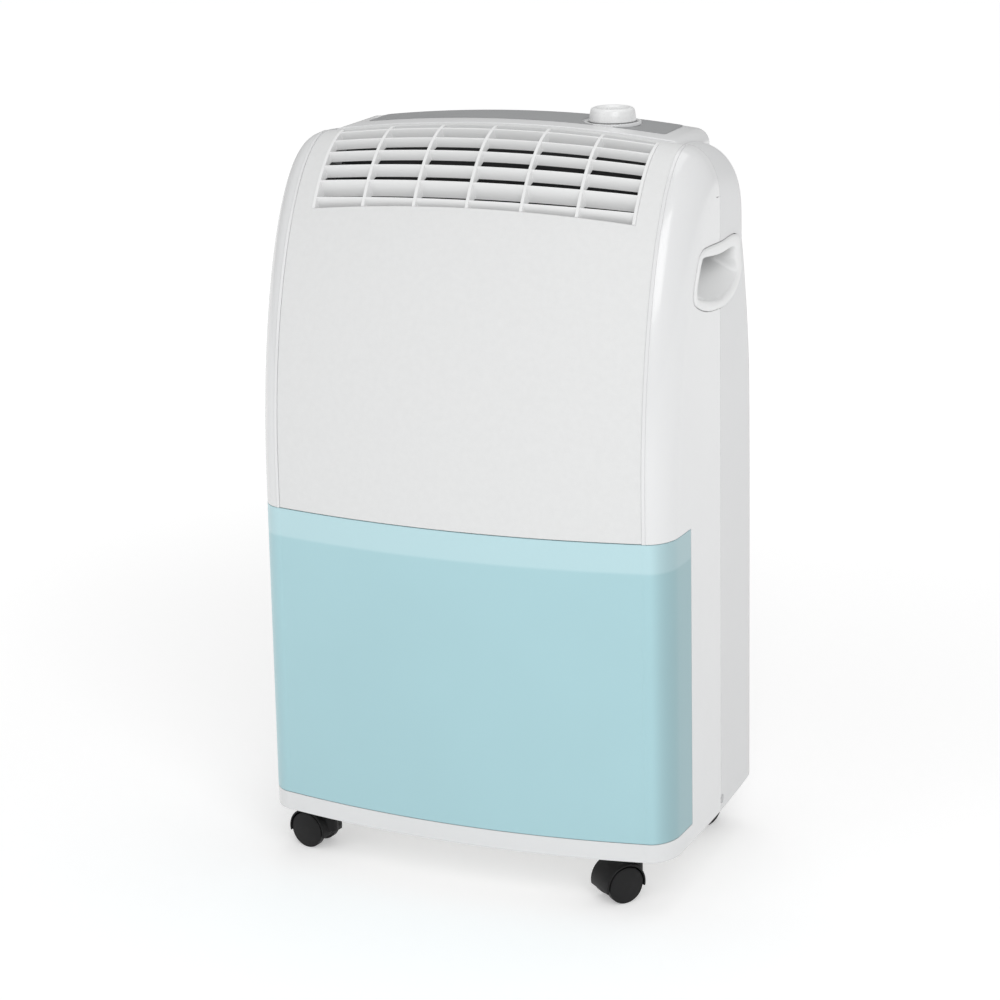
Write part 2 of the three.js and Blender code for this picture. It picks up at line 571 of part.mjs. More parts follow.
function waterTank() {
  const front = OUTER.intersect(box(EVERYWHERE, [-FAR, TANK_STEP_Y], TANK_Z));
  const rear = skin(TANK_INNER)
    .intersect(box(EVERYWHERE, [TANK_STEP_Y - 18.4, TANK_REAR_Y], [TANK_Z[0], TANK_REAR_TOP]));
  const floorZ = TANK_Z[0] + TANK_WALL;
  const frontHollow = skin(TANK_WALL).intersect(
    box(EVERYWHERE, [-FAR, TANK_STEP_Y - TANK_WALL], [floorZ, MAX_Z]));
  const rearHollow = skin(TANK_INNER + TANK_WALL).intersect(
    box(EVERYWHERE, [TANK_STEP_Y - 28.4, TANK_REAR_Y - TANK_WALL], [floorZ, MAX_Z]));
  const lidSeat = box([-LID.halfX - 3, LID.halfX + 3], [LID.frontY - 1.5, 0], [TANK_REAR_TOP, MAX_Z]);
  return cut(join(front, rear), frontHollow, rearHollow, lidSeat);
}

function tankLid() {
  const { x, y, z, lug, lugX, pinR } = FLOAT;
  const front = planPlate(TANK_WALL + 3, LID_Z).intersect(box(EVERYWHERE, [-FAR, LID.frontY], LID_Z));
  const rear = box([-LID.halfX, LID.halfX], [LID.frontY - 15.5, TANK_REAR_Y - 0.2], LID_Z);
  const inlet = box([-LID.inlet.halfX, LID.inlet.halfX], LID.inlet.y, [LID_Z[0] - 10, LID_Z[1] + 7]);
  const lugs = [x - lugX, x + lugX].map((at) =>
    box([at - 2, at + 2], [y - lug, y + lug], [z - lug, LID_Z[0] + 1]));
  const pinHoles = rod('x', pinR + GAP, [x - lugX - 8, x + lugX + 8], [0, y, z]);
  return cut(join(front, rear, ...lugs), inlet, pinHoles);
}

function tankFloat() {
  const { x, y, z, barrelR, barrelX, pinR, pinX, pad } = FLOAT;
  const barrel = rod('x', barrelR, [x - barrelX, x + barrelX], [0, y, z], 12);
  const pins = rod('x', pinR, [x - pinX, x + pinX], [0, y, z], 12);
  const side = [[y, z + 2], [y - 42, z - 18], [y - 42, z - 24], [y, z - 3]];
  const arm = prism('x', side, [x - 4, x + 4]);
  const block = box([x - pad.halfX, x + pad.halfX], pad.y.map((at) => y + at), pad.z.map((at) => z + at));
  return join(barrel, pins, arm, block);
}

// ---- chassis and refrigeration ------------------------------------------------------------
const TRAY_INSET = 5.4;
const TRAY_Z = [43.4, 56];
const SWITCH = { x: 132, z: 271, radius: 2.5 };
const DRAIN = { x: -112, z: 311, hole: 7.6, bore: 5.3 };
const BUNG = { plugR: 5, flangeR: 8.5, tabR: 3, y: [98, 107.4, 109.4, 110.5, 114] };
const GLAND = { x: -120, z: 84, neck: 5.7, bore: 4, flange: 8, y: [100, 103.9, 107.4, 109.5] };
const CORD = { x: -70, z: 190, radius: 3.3, coilR: 55, y: [119, 127.7], cleatY: 136 };
const SPOUT = { halfX: 12, y: [-35, -15], z: 297.6, wall: 2 };
const TRAY = { halfX: 118, y: [30, 94], topZ: 319, wall: 2, channelX: 16, channelY: [-38, 31], drainR: 7 };
const PIPE_HOLE = { x: [106, 140], y: [34, 78] };

function baseTray() {
  const plate = planPlate(TRAY_INSET, TRAY_Z);
  const socket = (x, y) => rod('z', STEM_R + GAP, [TRAY_Z[0] - 13, TRAY_Z[1] + 14], [x, y, 0]);
  const sockets = CASTOR.y.flatMap((y) => [socket(-CASTOR.x, y), socket(CASTOR.x, y)]);
  return cut(plate, ...sockets, ...SIDES.flatMap(([, side]) => [seamScrewHole(side), rearScrewHole(side)]));
}

function chassisPartition() {
  const through = [DECK_Z[0] - 10, DECK_Z[1] + 7];
  const wall = box([-160, 160], PARTITION_Y, [TRAY_Z[1] + 0.4, DECK_Z[1] - 0.5]);
  const deck = planPlate(10, DECK_Z);
  const drip = box([-SPOUT.halfX - 1, SPOUT.halfX + 1], [SPOUT.y[0] - 1, SPOUT.y[1] + 1], through);
  const pipes = box(PIPE_HOLE.x, PIPE_HOLE.y, through);
  const plunger = rod('y', SWITCH.radius + 0.7, [-10, 10], [SWITCH.x, 0, SWITCH.z]);
  return cut(join(wall, deck), drip, pipes, plunger);
}

function dripTray() {
  const { halfX, y, topZ, wall, channelX, channelY, drainR } = TRAY;
  const floorZ = DECK_Z[1] + GAP;
  const inside = [floorZ + wall, topZ + 5];
  const tray = box([-halfX, halfX], y, [floorZ, topZ]);
  const channel = box([-channelX, channelX], channelY, [floorZ, topZ - 3]);
  const spout = box([-SPOUT.halfX, SPOUT.halfX], SPOUT.y, [SPOUT.z, floorZ + 1]);
  const drain = rod('y', drainR, [y[1] - 1, y[1] + 9], [DRAIN.x, 0, DRAIN.z]);
  return cut(join(tray, channel, spout, drain),
    box([wall - halfX, halfX - wall], [y[0] + wall, y[1] - wall], inside),
    box([wall - channelX, channelX - wall], [channelY[0] + wall, y[0] + 10], inside),
    box([wall - SPOUT.halfX, SPOUT.halfX - wall], [SPOUT.y[0] + wall, SPOUT.y[1] - wall], [290, floorZ + 5]),
    rod('y', DRAIN.bore, [80, 110], [DRAIN.x, 0, DRAIN.z]));
}

function drainBung() {
  const { plugR, flangeR, tabR } = BUNG;
  const [tip, flange, rim, tab, end] = BUNG.y;
  const profile = [[0, tip], [plugR, tip], [plugR, flange], [flangeR, flange], [flangeR, rim],
    [tabR, tab], [tabR, end], [0, end]];
  return turned('y', profile, [DRAIN.x, 0, DRAIN.z], 12);
}

// A finned block with return bends on its left end.
function coil([y0, y1]) {
  const groove = 2.5;
  const fin = 10;
  const outline = [];
  const edge = (y, inner, from, to) => {
    const way = Math.sign(to - from);
    for (let x = from; way * (to - x) > fin; x += way * COIL.pitch) {
      outline.push([x, y], [x + way * fin, y], [x + way * fin, inner], [x + way * COIL.pitch, inner]);
    }
  };
  edge(y0, y0 + groove, -COIL.halfX, COIL.halfX);
  edge(y1, y1 - groove, COIL.halfX, -COIL.halfX);
  const fins = prism('z', outline, COIL.z);
  const middle = (y0 + y1) / 2;
  const bends = [0, 1].map((i) => {
    const z = COIL.z[0] + 40 + i * 75;
    const x = -COIL.halfX;
    return pipe([[x + 4, middle, z], [x - 6, middle, z + 2], [x - 12, middle, z + 13],
      [x - 6, middle, z + 24], [x + 4, middle, z + 26]], 4, 5, 6);
  });
  return join(fins, ...bends);
}

function compressor() {
  const { x, y, radius, z: [foot, top], terminals } = COMPRESSOR;
  const profile = [[0, foot], [radius - 2, foot], [radius - 2, foot + 3], [radius - 6, foot + 4],
    [radius, foot + 16], [radius, top - 24], [radius - 8, top - 8], [radius - 24, top - 1], [0, top]];
  const cover = box([x + radius - 6, x + radius + terminals.depth],
    [y - terminals.halfY, y + terminals.halfY], terminals.z);
  return join(turned('z', profile, [x, y, 0], 20), cover);
}

const grommet = (angle) => rod('z', GROMMET.radius, [TRAY_Z[1] + GAP, COMPRESSOR.z[0] - GAP],
  [COMPRESSOR.x + GROMMET.circle * Math.cos(deg(angle)),
    COMPRESSOR.y + GROMMET.circle * Math.sin(deg(angle)), 0], 12);

const DISCHARGE_R = 3;
const SUCTION_R = 4;

function dischargePipe() {
  const { x, y, z } = COMPRESSOR;
  const path = [[x, y, z[1] + 0.5], [x + 2, y, z[1] + 14], [x + 24, y - 3, z[1] + 23],
    [x + 54, y - 6, z[1] + 26], [x + 62, y - 7, z[1] + 42], [x + 61, y - 7, z[1] + 76],
    [COIL.halfX + 9, y - 7, z[1] + 86], [COIL.halfX + 0.7, y - 7, z[1] + 86]];
  return pipe(path, DISCHARGE_R, 16, 6);
}

function suctionPipe() {
  const side = COMPRESSOR.x + COMPRESSOR.radius;
  const y = COMPRESSOR.y;
  const path = [[side + 0.8, y, 118], [side + 12, y, 120], [side + 17, y + 4, 150],
    [side + 17, y + 12, 290], [side + 16, y + 22, 330], [COIL.halfX + 10, y + 24, 345],
    [COIL.halfX + 0.7, y + 24, 345]];
  return pipe(path, SUCTION_R, 16, 6);
}

function runCapacitor() {
  const { x, y, radius, topZ } = CAPACITOR;
  const foot = TRAY_Z[1] + GAP;
  const profile = [[0, foot], [radius, foot], [radius, topZ - 2], [radius - 2, topZ], [0, topZ]];
  return turned('z', profile, [x, y, 0], 16);
}

// ---- fan ----------------------------------------------------------------------------------
const MOTOR_Y = [-64, -32];
const BACKPLATE_Y = [-18, -15];
const SHROUD_Y = [-42, 28];
const SHROUD = { radius: 95, wall: 2.5, neckZ: 470, mouthZ: 505, flare: 27, inletR: 66, motorR: 41 };
const MOTOR = { capR: 30, canR: 38, flangeR: 47, flangeY: [-45, -42.4], boreR: 3.4, boreY: -46 };

function shroudOutline(radius) {
  const { neckZ, mouthZ, flare } = SHROUD;
  const points = [[mouthZ, radius + flare], [neckZ, radius]];
  const steps = 14;
  for (let i = 0; i <= steps; i++) {
    const angle = -Math.PI * i / steps;
    points.push([FAN.z + radius * Math.sin(angle), radius * Math.cos(angle)]);
  }
  return [...points, [neckZ, -radius], [mouthZ, -radius - flare]];
}

function fanShroud() {
  const { radius, wall, mouthZ, inletR, motorR } = SHROUD;
  const outer = prism('y', shroudOutline(radius), SHROUD_Y);
  const hollowOutline = shroudOutline(radius - wall).map(([z, x]) => [z === mouthZ ? z + 5 : z, x]);
  const hollow = prism('y', hollowOutline, [SHROUD_Y[0] + wall, SHROUD_Y[1] - wall]);
  const inlet = rod('y', inletR, [SHROUD_Y[1] - 5, SHROUD_Y[1] + 5], [0, 0, FAN.z], 24);
  const motorHole = rod('y', motorR, [SHROUD_Y[0] - 5, SHROUD_Y[0] + 5], [0, 0, FAN.z], 24);
  return cut(outer, hollow, inlet, motorHole);
}

function fanMotor() {
  const { capR, canR, flangeR, flangeY, boreR, boreY } = MOTOR;
  const [front, rear] = MOTOR_Y;
  const profile = [[0, front], [capR, front], [canR, front + 6], [canR, flangeY[0]], [flangeR, flangeY[0]],
    [flangeR, flangeY[1]], [canR, flangeY[1]], [canR, rear - 4], [capR, rear], [boreR, rear],
    [boreR, boreY], [0, boreY]];
  return turned('y', profile, [0, 0, FAN.z], 16);
}

function fanImpeller() {
  const { radius, ringWidth, ringY, shaftR, shaftY, hubR, hubY } = FAN;
  const [plate, face] = BACKPLATE_Y;
  const shaft = [[0, shaftY], [shaftR, shaftY], [shaftR, hubY], [hubR, hubY], [hubR, plate],
    [radius, plate], [radius, face], [0, face]];
  const disc = turned('y', shaft, [0, 0, 0], 20);
  const ringProfile = [[radius - ringWidth, ringY[0]], [radius, ringY[0]], [radius, ringY[1]],
    [radius - ringWidth, ringY[1]], [radius - ringWidth, ringY[0]]];
  const ring = turned('y', ringProfile, [0, 0, 0], 20);
  const blades = [];
  for (let i = 0; i < FAN.blades; i++) {
    const blade = new THREE.BoxGeometry(...FAN.blade.size).rotateY(deg(FAN.blade.pitch))
      .translate(radius - 8, 1.8, 0);
    blades.push(solid(blade.rotateY(2 * Math.PI * i / FAN.blades)));
  }
  return join(disc, ring, ...blades);
}

// ---- tank switch and mains lead -----------------------------------------------------------
function switchBody() {
  return box([SWITCH.x - 14, SWITCH.x + 14], [PARTITION_Y[1] + GAP, 14], [SWITCH.z - 9, SWITCH.z + 9])
    .subtract(rod('y', SWITCH.radius + GAP, [-5, 9], [SWITCH.x, 0, SWITCH.z]));
}

const switchPlunger = () => rod('y', SWITCH.radius, [TANK_REAR_Y + GAP, 4], [SWITCH.x, 0, SWITCH.z]);

function cordGland() {
  const { bore, neck, flange } = GLAND;
  const [start, inner, outer, end] = GLAND.y;
  const profile = [[bore, start], [flange, start], [flange, inner], [neck, inner], [neck, outer],
    [flange, outer], [flange, end], [bore, end], [bore, start]];
  return turned('y', profile, [GLAND.x, 0, GLAND.z], 12);
}

function powerCord() {
  const points = [[GLAND.x, 97, GLAND.z], [GLAND.x, 105, GLAND.z], [GLAND.x, 113.5, GLAND.z],
    [GLAND.x - 1, 118, GLAND.z + 7], [GLAND.x - 3, CORD.y[0], GLAND.z + 20],
    [CORD.x - CORD.coilR, CORD.y[0], GLAND.z + 50]];
  const turns = 1.5;
  const steps = 18;
  for (let i = 0; i <= steps; i++) {
    const angle = Math.PI - 2 * Math.PI * turns * i / steps;
    points.push([CORD.x + CORD.coilR * Math.cos(angle), lerp(...CORD.y, i / steps),
      CORD.z + CORD.coilR * Math.sin(angle)]);
  }
  points.push([CORD.x + CORD.coilR, CORD.y[1], PLUG.z[1] + 1]);
  return pipe(points, CORD.radius, 48, 6);
}

const PLUG = { z: [112, 146], halfX: 17, halfY: 6.8, pin: { x: 9.5, radius: 2, length: 19 } };

function mainsPlug() {
  const x = CORD.x + CORD.coilR;
  const y = CORD.y[1];
  const outline = [[-PLUG.halfX, -3], [-PLUG.halfX + 5, -PLUG.halfY], [PLUG.halfX - 5, -PLUG.halfY],
    [PLUG.halfX, -3], [PLUG.halfX, 3], [PLUG.halfX - 5, PLUG.halfY], [-PLUG.halfX + 5, PLUG.halfY],
    [-PLUG.halfX, 3]].map(([a, b]) => [x + a, y + b]);
  const { pin } = PLUG;
  const reach = [PLUG.z[0] - pin.length, PLUG.z[0] + 2];
  const pins = [-pin.x, pin.x].map((shift) => rod('z', pin.radius, reach, [x + shift, y, 0], 12));
  return join(prism('z', outline, PLUG.z), ...pins);
}

// ---- castors: origin on the floor under the stem, wheels trailing along +X ----------------
const WEB_HALF = 5.6;
const AXLE_R = 2;
const BORE_END = 11;            // how deep the axle's bore goes into each wheel
const WHEEL_SIDES = 16;

function castorHood() {
  const { trail, axleZ, hoodR, wheelR, halfWidth } = CASTOR;
  const tilt = 12;
  const cover = [];
  const steps = 9;
  for (let i = 0; i <= steps; i++) {
    const angle = deg(lerp(-tilt, 180 + tilt, i / steps));
    cover.push([axleZ + hoodR * Math.sin(angle), trail + hoodR * Math.cos(angle)]);
  }
  const outline = [...cover, [axleZ - 7.5, trail - 10], [axleZ - 7.5, trail + 10]];
  const block = prism('y', outline, [-halfWidth, halfWidth]);
  const boss = rod('z', 7, [axleZ, 38], [0, 0, 0]);
  const outboard = [[-2 * halfWidth, -WEB_HALF], [WEB_HALF, 2 * halfWidth]];
  const wheelRoom = outboard.map((y) => rod('y', wheelR + 0.9, y, [trail, 0, axleZ], 20));
  const below = outboard.map((y) => box([-40, 60], y, [0, axleZ - hoodR * Math.sin(deg(tilt))]));
  const stemHole = rod('z', STEM_R + GAP, [13, 60], [0, 0, 0], 16);
  const axleHole = rod('y', AXLE_R + GAP, [-20, 20], [trail, 0, axleZ], 12);
  return cut(join(block, boss), ...wheelRoom, ...below, stemHole, axleHole);
}

const castorStem = () => turned('z', [[0, 13.5], [STEM_R, 13.5], [STEM_R, 40], [7, 40], [7, 42], [STEM_R, 42],
  [STEM_R, 55], [0, 55]], [0, 0, 0], 12);

const castorAxle = () => rod('y', AXLE_R, [0.4 - BORE_END, BORE_END - 0.4],
  [CASTOR.trail, 0, CASTOR.axleZ], 12);

function castorWheel(side) {
  const r = CASTOR.wheelR / Math.cos(Math.PI / WHEEL_SIDES);   // flats, not corners, reach the floor
  const profile = [[0, 12.6], [r * 0.86, 12.3], [r, 11.2], [r, 6.8], [r * 0.95, WEB_HALF + GAP],
    [AXLE_R + GAP, WEB_HALF + GAP], [AXLE_R + GAP, BORE_END], [0, BORE_END]];
  return turned('y', profile.map(([radius, y]) => [radius, side * y]),
    [CASTOR.trail, 0, CASTOR.axleZ], WHEEL_SIDES, Math.PI / WHEEL_SIDES);
}

// ---- assembly -----------------------------------------------------------------------------
const FINISH = {
  gloss: { color: 0xeeefef, roughness: 0.22, metalness: 0 },
  satin: { color: 0xe2e3e3, roughness: 0.55, metalness: 0 },
  tank: { color: 0xa9d0d7, roughness: 0.3, metalness: 0 },
  grey: { color: 0xb0b3b5, roughness: 0.4, metalness: 0 },
  black: { color: 0x1a1a1a, roughness: 0.45, metalness: 0 },
  rubber: { color: 0x222222, roughness: 0.9, metalness: 0 },
  steel: { color: 0x8f9294, roughness: 0.35, metalness: 1 },
  copper: { color: 0xb87352, roughness: 0.35, metalness: 1 },
  aluminium: { color: 0xc9cccd, roughness: 0.4, metalness: 1 },
  foam: { color: 0xf4f4f2, roughness: 0.95, metalness: 0 },
};

const dehumidifier = new THREE.Group();

function place(name, manifold, finish, parent = dehumidifier) {
  const mesh = new THREE.Mesh(geometryOf(manifold), new THREE.MeshStandardMaterial(FINISH[finish]));
  mesh.name = name;
  parent.add(mesh);
  return mesh;
}

place('base_tray', baseTray(), 'satin');
place('front_casing', frontCasing(), 'gloss');
place('front_panel', frontPanel(), 'satin');
place('outlet_grille', outletGrille(), 'gloss');
place('control_console', controlConsole(), 'gloss');
place('console_overlay', consoleOverlay(), 'grey');
place('humidistat_knob', humidistatKnob(), 'gloss');
place('humidistat_body', humidistatBody(), 'black');
place('rear_casing', rearCasing(), 'gloss');
place('intake_grille', intakeGrille(), 'gloss');
place('air_filter', airFilter(), 'grey');
place('water_tank', waterTank(), 'tank');
place('tank_lid', tankLid(), 'satin');
place('tank_float', tankFloat(), 'foam');
for (const [name, side] of SIDES) {
  place(`handle_cup_${name}`, handleCup(side), 'gloss');
  place(`seam_screw_${name}`, seamScrew(side), 'steel');
  place(`rear_screw_${name}`, rearScrew(side), 'steel');
}
place('power_cord', powerCord(), 'rubber');
place('mains_plug', mainsPlug(), 'black');
place('cord_gland', cordGland(), 'rubber');
place('drain_bung', drainBung(), 'rubber');
place('compressor', compressor(), 'black');
GROMMET.angles.forEach((angle, i) => place(`compressor_grommet_${i + 1}`, grommet(angle), 'rubber'));
place('evaporator_coil', coil([64, 88]), 'aluminium');
place('condenser_coil', coil([34, 56]), 'aluminium');
place('discharge_pipe', dischargePipe(), 'copper');
place('suction_pipe', suctionPipe(), 'copper');
place('fan_motor', fanMotor(), 'steel');
place('fan_impeller', fanImpeller(), 'black').position.set(0, 0, FAN.z);
place('fan_shroud', fanShroud(), 'black');
place('drip_tray', dripTray(), 'satin');
place('tank_switch_body', switchBody(), 'black');
place('tank_switch_plunger', switchPlunger(), 'satin');
place('run_capacitor', runCapacitor(), 'aluminium');
place('chassis_partition', chassisPartition(), 'satin');

const CASTORS = [
  { name: 'front_left', x: -CASTOR.x, y: CASTOR.y[0], yaw: 167.3 },
  { name: 'front_right', x: CASTOR.x, y: CASTOR.y[0], yaw: 230.7 },
  { name: 'rear_left', x: -CASTOR.x, y: CASTOR.y[1], yaw: 125 },
  { name: 'rear_right', x: CASTOR.x, y: CASTOR.y[1], yaw: 60 },
];
for (const { name, x, y, yaw } of CASTORS) {
  const castor = new THREE.Group();
  castor.position.set(x, y, 0);
  castor.rotation.z = deg(yaw);
  dehumidifier.add(castor);
  place(`castor_${name}_stem`, castorStem(), 'steel', castor);
  place(`castor_${name}_hood`, castorHood(), 'black', castor);
  place(`castor_${name}_axle`, castorAxle(), 'steel', castor);
  place(`castor_${name}_wheel_a`, castorWheel(-1), 'black', castor);
  place(`castor_${name}_wheel_b`, castorWheel(1), 'black', castor);
}

const part = new THREE.Group();
dehumidifier.position.y = -(FRONT_Y - CROWN + CORD.cleatY) / 2;
part.add(dehumidifier);

export default part;
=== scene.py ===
import json
import math

import bmesh
import bpy
import numpy as np
from mathutils import Matrix, Vector


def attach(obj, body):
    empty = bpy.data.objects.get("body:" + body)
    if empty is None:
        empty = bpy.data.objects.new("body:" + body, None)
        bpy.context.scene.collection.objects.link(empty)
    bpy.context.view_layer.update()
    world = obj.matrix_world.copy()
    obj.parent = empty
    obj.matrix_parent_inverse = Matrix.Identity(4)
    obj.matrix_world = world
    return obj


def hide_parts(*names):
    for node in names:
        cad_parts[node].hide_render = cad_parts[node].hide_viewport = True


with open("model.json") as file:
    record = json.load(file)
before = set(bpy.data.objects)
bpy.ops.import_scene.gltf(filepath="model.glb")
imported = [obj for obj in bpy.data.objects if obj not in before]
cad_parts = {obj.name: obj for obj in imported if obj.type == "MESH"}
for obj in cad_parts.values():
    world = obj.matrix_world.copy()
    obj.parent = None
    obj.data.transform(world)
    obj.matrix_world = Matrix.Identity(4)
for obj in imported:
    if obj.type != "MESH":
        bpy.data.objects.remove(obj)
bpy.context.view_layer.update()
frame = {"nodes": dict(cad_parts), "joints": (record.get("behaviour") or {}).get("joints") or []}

SCENE = bpy.context.scene
MM = 0.001
JOINTS = {j["name"]: j for j in frame["joints"]}
SHIFT_Y = JOINTS["fan_spin"]["pos_m"][1]   # the fan axis is drawn at y = 0

# ---- driving dimensions, millimetres, drawn with the casing centred -------------------------
BASE_Z = 42.0
TANK_Z = (57.5, 296.6)
OPENING_Z = (57.0, 297.0)
CREASE_X = 150.0
HALF_WIDTH = 178.0
WIDEST_Y = 90.0
SIDE_RADIUS = 1660.0
TOP_TAPER = 0.03
CROWN = 14.7
TOP_CROWN = 0.72
FRONT_Y = -89.6
REAR_Y = 107.0
SEAM_Y = 23.0
TANK_SIDE_Y = -41.0
CREST_Z = 574.0
FRONT_STRAIGHT_Z = 330.0     # below this the front is upright
CREST_Y = 15.0
REAR_TOP = (106.0, 510.0)    # y and z where the rear wall meets the crown
FRONT_BEZIER = ((FRONT_Y, FRONT_STRAIGHT_Z), (FRONT_Y, 470), (-35, CREST_Z), (CREST_Y, CREST_Z))
REAR_BEZIER = ((CREST_Y, CREST_Z), (70, CREST_Z), (REAR_TOP[0], 560), REAR_TOP)
EDGE_DEPTH = {"front": 24.0, "top": 38.0, "rear": 12.0}
REAR_EDGE_Z = (300.0, 195.0)      # height where the rear edge starts to widen, and over how much
REAR_EDGE_GROWTH = (5.0, 33.0)    # the edge's depth there, and how much it gains
FRONT_WALL = 4.6
REAR_WALL = 2.6
PANEL_WALL = 2.4
TANK_WALL = 2.5
GRILLE_HALF_X = 129.5
GRILLE_LOW = (-47.5, 524.1)
GRILLE_HIGH = (8.8, 573.3)
GRILLE_COLUMNS = 6
LOUVRES = ((0.612, 13.2), (0.669, 14.0), (0.726, 10.4), (0.788, 8.5), (0.855, 8.0), (0.926, 8.2))
LEAN = math.radians(20)
LOUVRE_THICKNESS = 1.3
CONSOLE_HALF_X = 144.4
CONSOLE_Y = (18.6, 88.0)
CONSOLE_Z = 548.0
CONSOLE_TOP = 585.0
CONSOLE_DROP = 10.4
CONSOLE_END_R = 12.0
CONSOLE_GAP = 0.3
KNOB_XY = (75.0, 60.0)
KNOB_HEIGHT = 9.8
FILM_FRONT = (47.0, 38.5, 38.0)   # y at the left end, the bow's control point and the right end
HANDLE_OUTER = [(62, 500.5), (24, 502), (-8, 503), (-17, 501.5), (-22.5, 497.5), (-27, 489.5), (-31.5, 480),
                (-33.8, 470.5), (-29.5, 463.5), (-10, 456), (11, 452.8), (32, 452), (52, 456), (66, 464),
                (72, 473), (71, 479)]
HANDLE_INNER = [(55, 492.5), (20.6, 493.1), (-13, 496.5), (-19, 494), (-23.2, 487.2), (-27.5, 478.8),
                (-28.8, 472.3), (-25, 468.5), (-6.2, 463.3), (17.7, 459.5), (31.1, 460), (51.2, 464.9),
                (62.8, 472.9), (58.7, 482.7)]
HANDLE_CENTRE = (18.0, 478.0)
CORD_X, CORD_Z, CORD_R, COIL_R = -70.0, 190.0, 3.3, 55.0
CORD_Y = (119.0, 127.7)
GLAND_X, GLAND_Z = -120.0, 84.0
PLUG_Z = (112.0, 146.0)
FAR = 300.0
TOP = 700.0
MERGE_M = 1e-7         # points closer than this become one, metres
SKIN_MERGE_M = 2e-6


# ---- mesh helpers ---------------------------------------------------------------------------
def make(name, vertices, faces, merge=MERGE_M):
    """A closed mesh from millimetre points, with its faces turned outward."""
    mesh = bpy.data.meshes.new(name)
    mesh.from_pydata([(x * MM, y * MM + SHIFT_Y, z * MM) for x, y, z in vertices], [], faces)
    bm = bmesh.new()
    bm.from_mesh(mesh)
    bmesh.ops.remove_doubles(bm, verts=bm.verts, dist=merge)
    bmesh.ops.recalc_face_normals(bm, faces=bm.faces)
    bm.to_mesh(mesh)
    bm.free()
    obj = bpy.data.objects.new(name, mesh)
    SCENE.collection.objects.link(obj)
    return obj


def remove(obj):
    mesh = obj.data
    bpy.data.objects.remove(obj)
    bpy.data.meshes.remove(mesh)


def bake(obj):
    bpy.context.view_layer.update()
    graph = bpy.context.evaluated_depsgraph_get()
    mesh = bpy.data.meshes.new_from_object(obj.evaluated_get(graph))
    old = obj.data
    obj.modifiers.clear()
    obj.data = mesh
    bpy.data.meshes.remove(old)
    return obj


def boolean(base, operation, *tools):
    for tool in tools:
        modifier = base.modifiers.new("cut", "BOOLEAN")
        modifier.operation = operation
        modifier.solver = "MANIFOLD"
        modifier.object = tool
        bake(base)
    for tool in tools:
        remove(tool)
    return base


def cut(base, *tools):
    return boolean(base, "DIFFERENCE", *tools)


def keep(base, *tools):
    return boolean(base, "INTERSECT", *tools)


def join(base, *tools):
    return boolean(base, "UNION", *tools)


def gather(name, objects):
    """Several closed meshes as one object."""
    bm = bmesh.new()
    for obj in objects:
        bm.from_mesh(obj.data)
    mesh = bpy.data.meshes.new(name)
    bm.to_mesh(mesh)
    bm.free()
    for obj in objects:
        remove(obj)
    out = bpy.data.objects.new(name, mesh)
    SCENE.collection.objects.link(out)
    return out


def bevel(obj, width, segments=3, angle=35):
    modifier = obj.modifiers.new("bevel", "BEVEL")
    modifier.width = width * MM
    modifier.segments = segments
    modifier.limit_method = "ANGLE"
    modifier.angle_limit = math.radians(angle)
    modifier.miter_outer = "MITER_ARC"
    return bake(obj)


def smooth(obj, angle=32):
    mesh = obj.data
    mesh.shade_smooth()
    mesh.set_sharp_from_angle(angle=math.radians(angle))
    return obj


def moved(obj, by):
    for v in obj.data.vertices:
        v.co += Vector(by) * MM
    return obj


def loft(name, rings, caps=True):
    """Skins equal rings of points in order, with a face over each end."""
    count = len(rings[0])
    vertices = [p for ring in rings for p in ring]
    faces = []
    for i in range(len(rings) - 1):
        for j in range(count):
            k = (j + 1) % count
            faces.append((i * count + j, i * count + k, (i + 1) * count + k, (i + 1) * count + j))
    if caps:
        faces.append(tuple(range(count)))
        faces.append(tuple((len(rings) - 1) * count + j for j in range(count)))
    return make(name, vertices, faces)


def box(x, y, z):
    def ring(level):
        return [(x[0], y[0], level), (x[1], y[0], level), (x[1], y[1], level), (x[0], y[1], level)]
    return loft("box", [ring(z[0]), ring(z[1])])


PLANES = {"x": lambda a, b, h: (h, a, b), "y": lambda a, b, h: (b, h, a), "z": lambda a, b, h: (a, b, h)}


def prism(axis, outline, reach):
    """Outline points are (y, z), (z, x) or (x, y)."""
    point = PLANES[axis]
    return loft("prism", [[point(a, b, h) for a, b in outline] for h in reach])


STRAIGHT = 0.02        # corners flatter than this, radians, are left as they are
EDGE_SHARE = 0.49      # a rounding takes at most this share of an edge


def fillet(points, radius, steps=5, closed=True):
    """A 2-D outline with its corners rounded; radius is one number or one per corner."""
    count = len(points)
    radii = [radius] * count if isinstance(radius, (int, float)) else radius
    out = []
    for i, p in enumerate(points):
        if radii[i] <= 0 or (not closed and i in (0, count - 1)):
            out.append(tuple(p))
            continue
        p = Vector(p)
        a, b = Vector(points[i - 1]) - p, Vector(points[(i + 1) % count]) - p
        angle = a.angle(b)
        if angle > math.pi - STRAIGHT:
            out.append(tuple(p))
            continue
        reach = min(radii[i] / math.tan(angle / 2), EDGE_SHARE * a.length, EDGE_SHARE * b.length)
        r = reach * math.tan(angle / 2)
        centre = p + (a.normalized() + b.normalized()).normalized() * (r / math.sin(angle / 2))
        start, end = p + a.normalized() * reach - centre, p + b.normalized() * reach - centre
        turn = start.angle_signed(end)
        for s in range(steps + 1):
            out.append(tuple(centre + Matrix.Rotation(-turn * s / steps, 2) @ start))
    return out


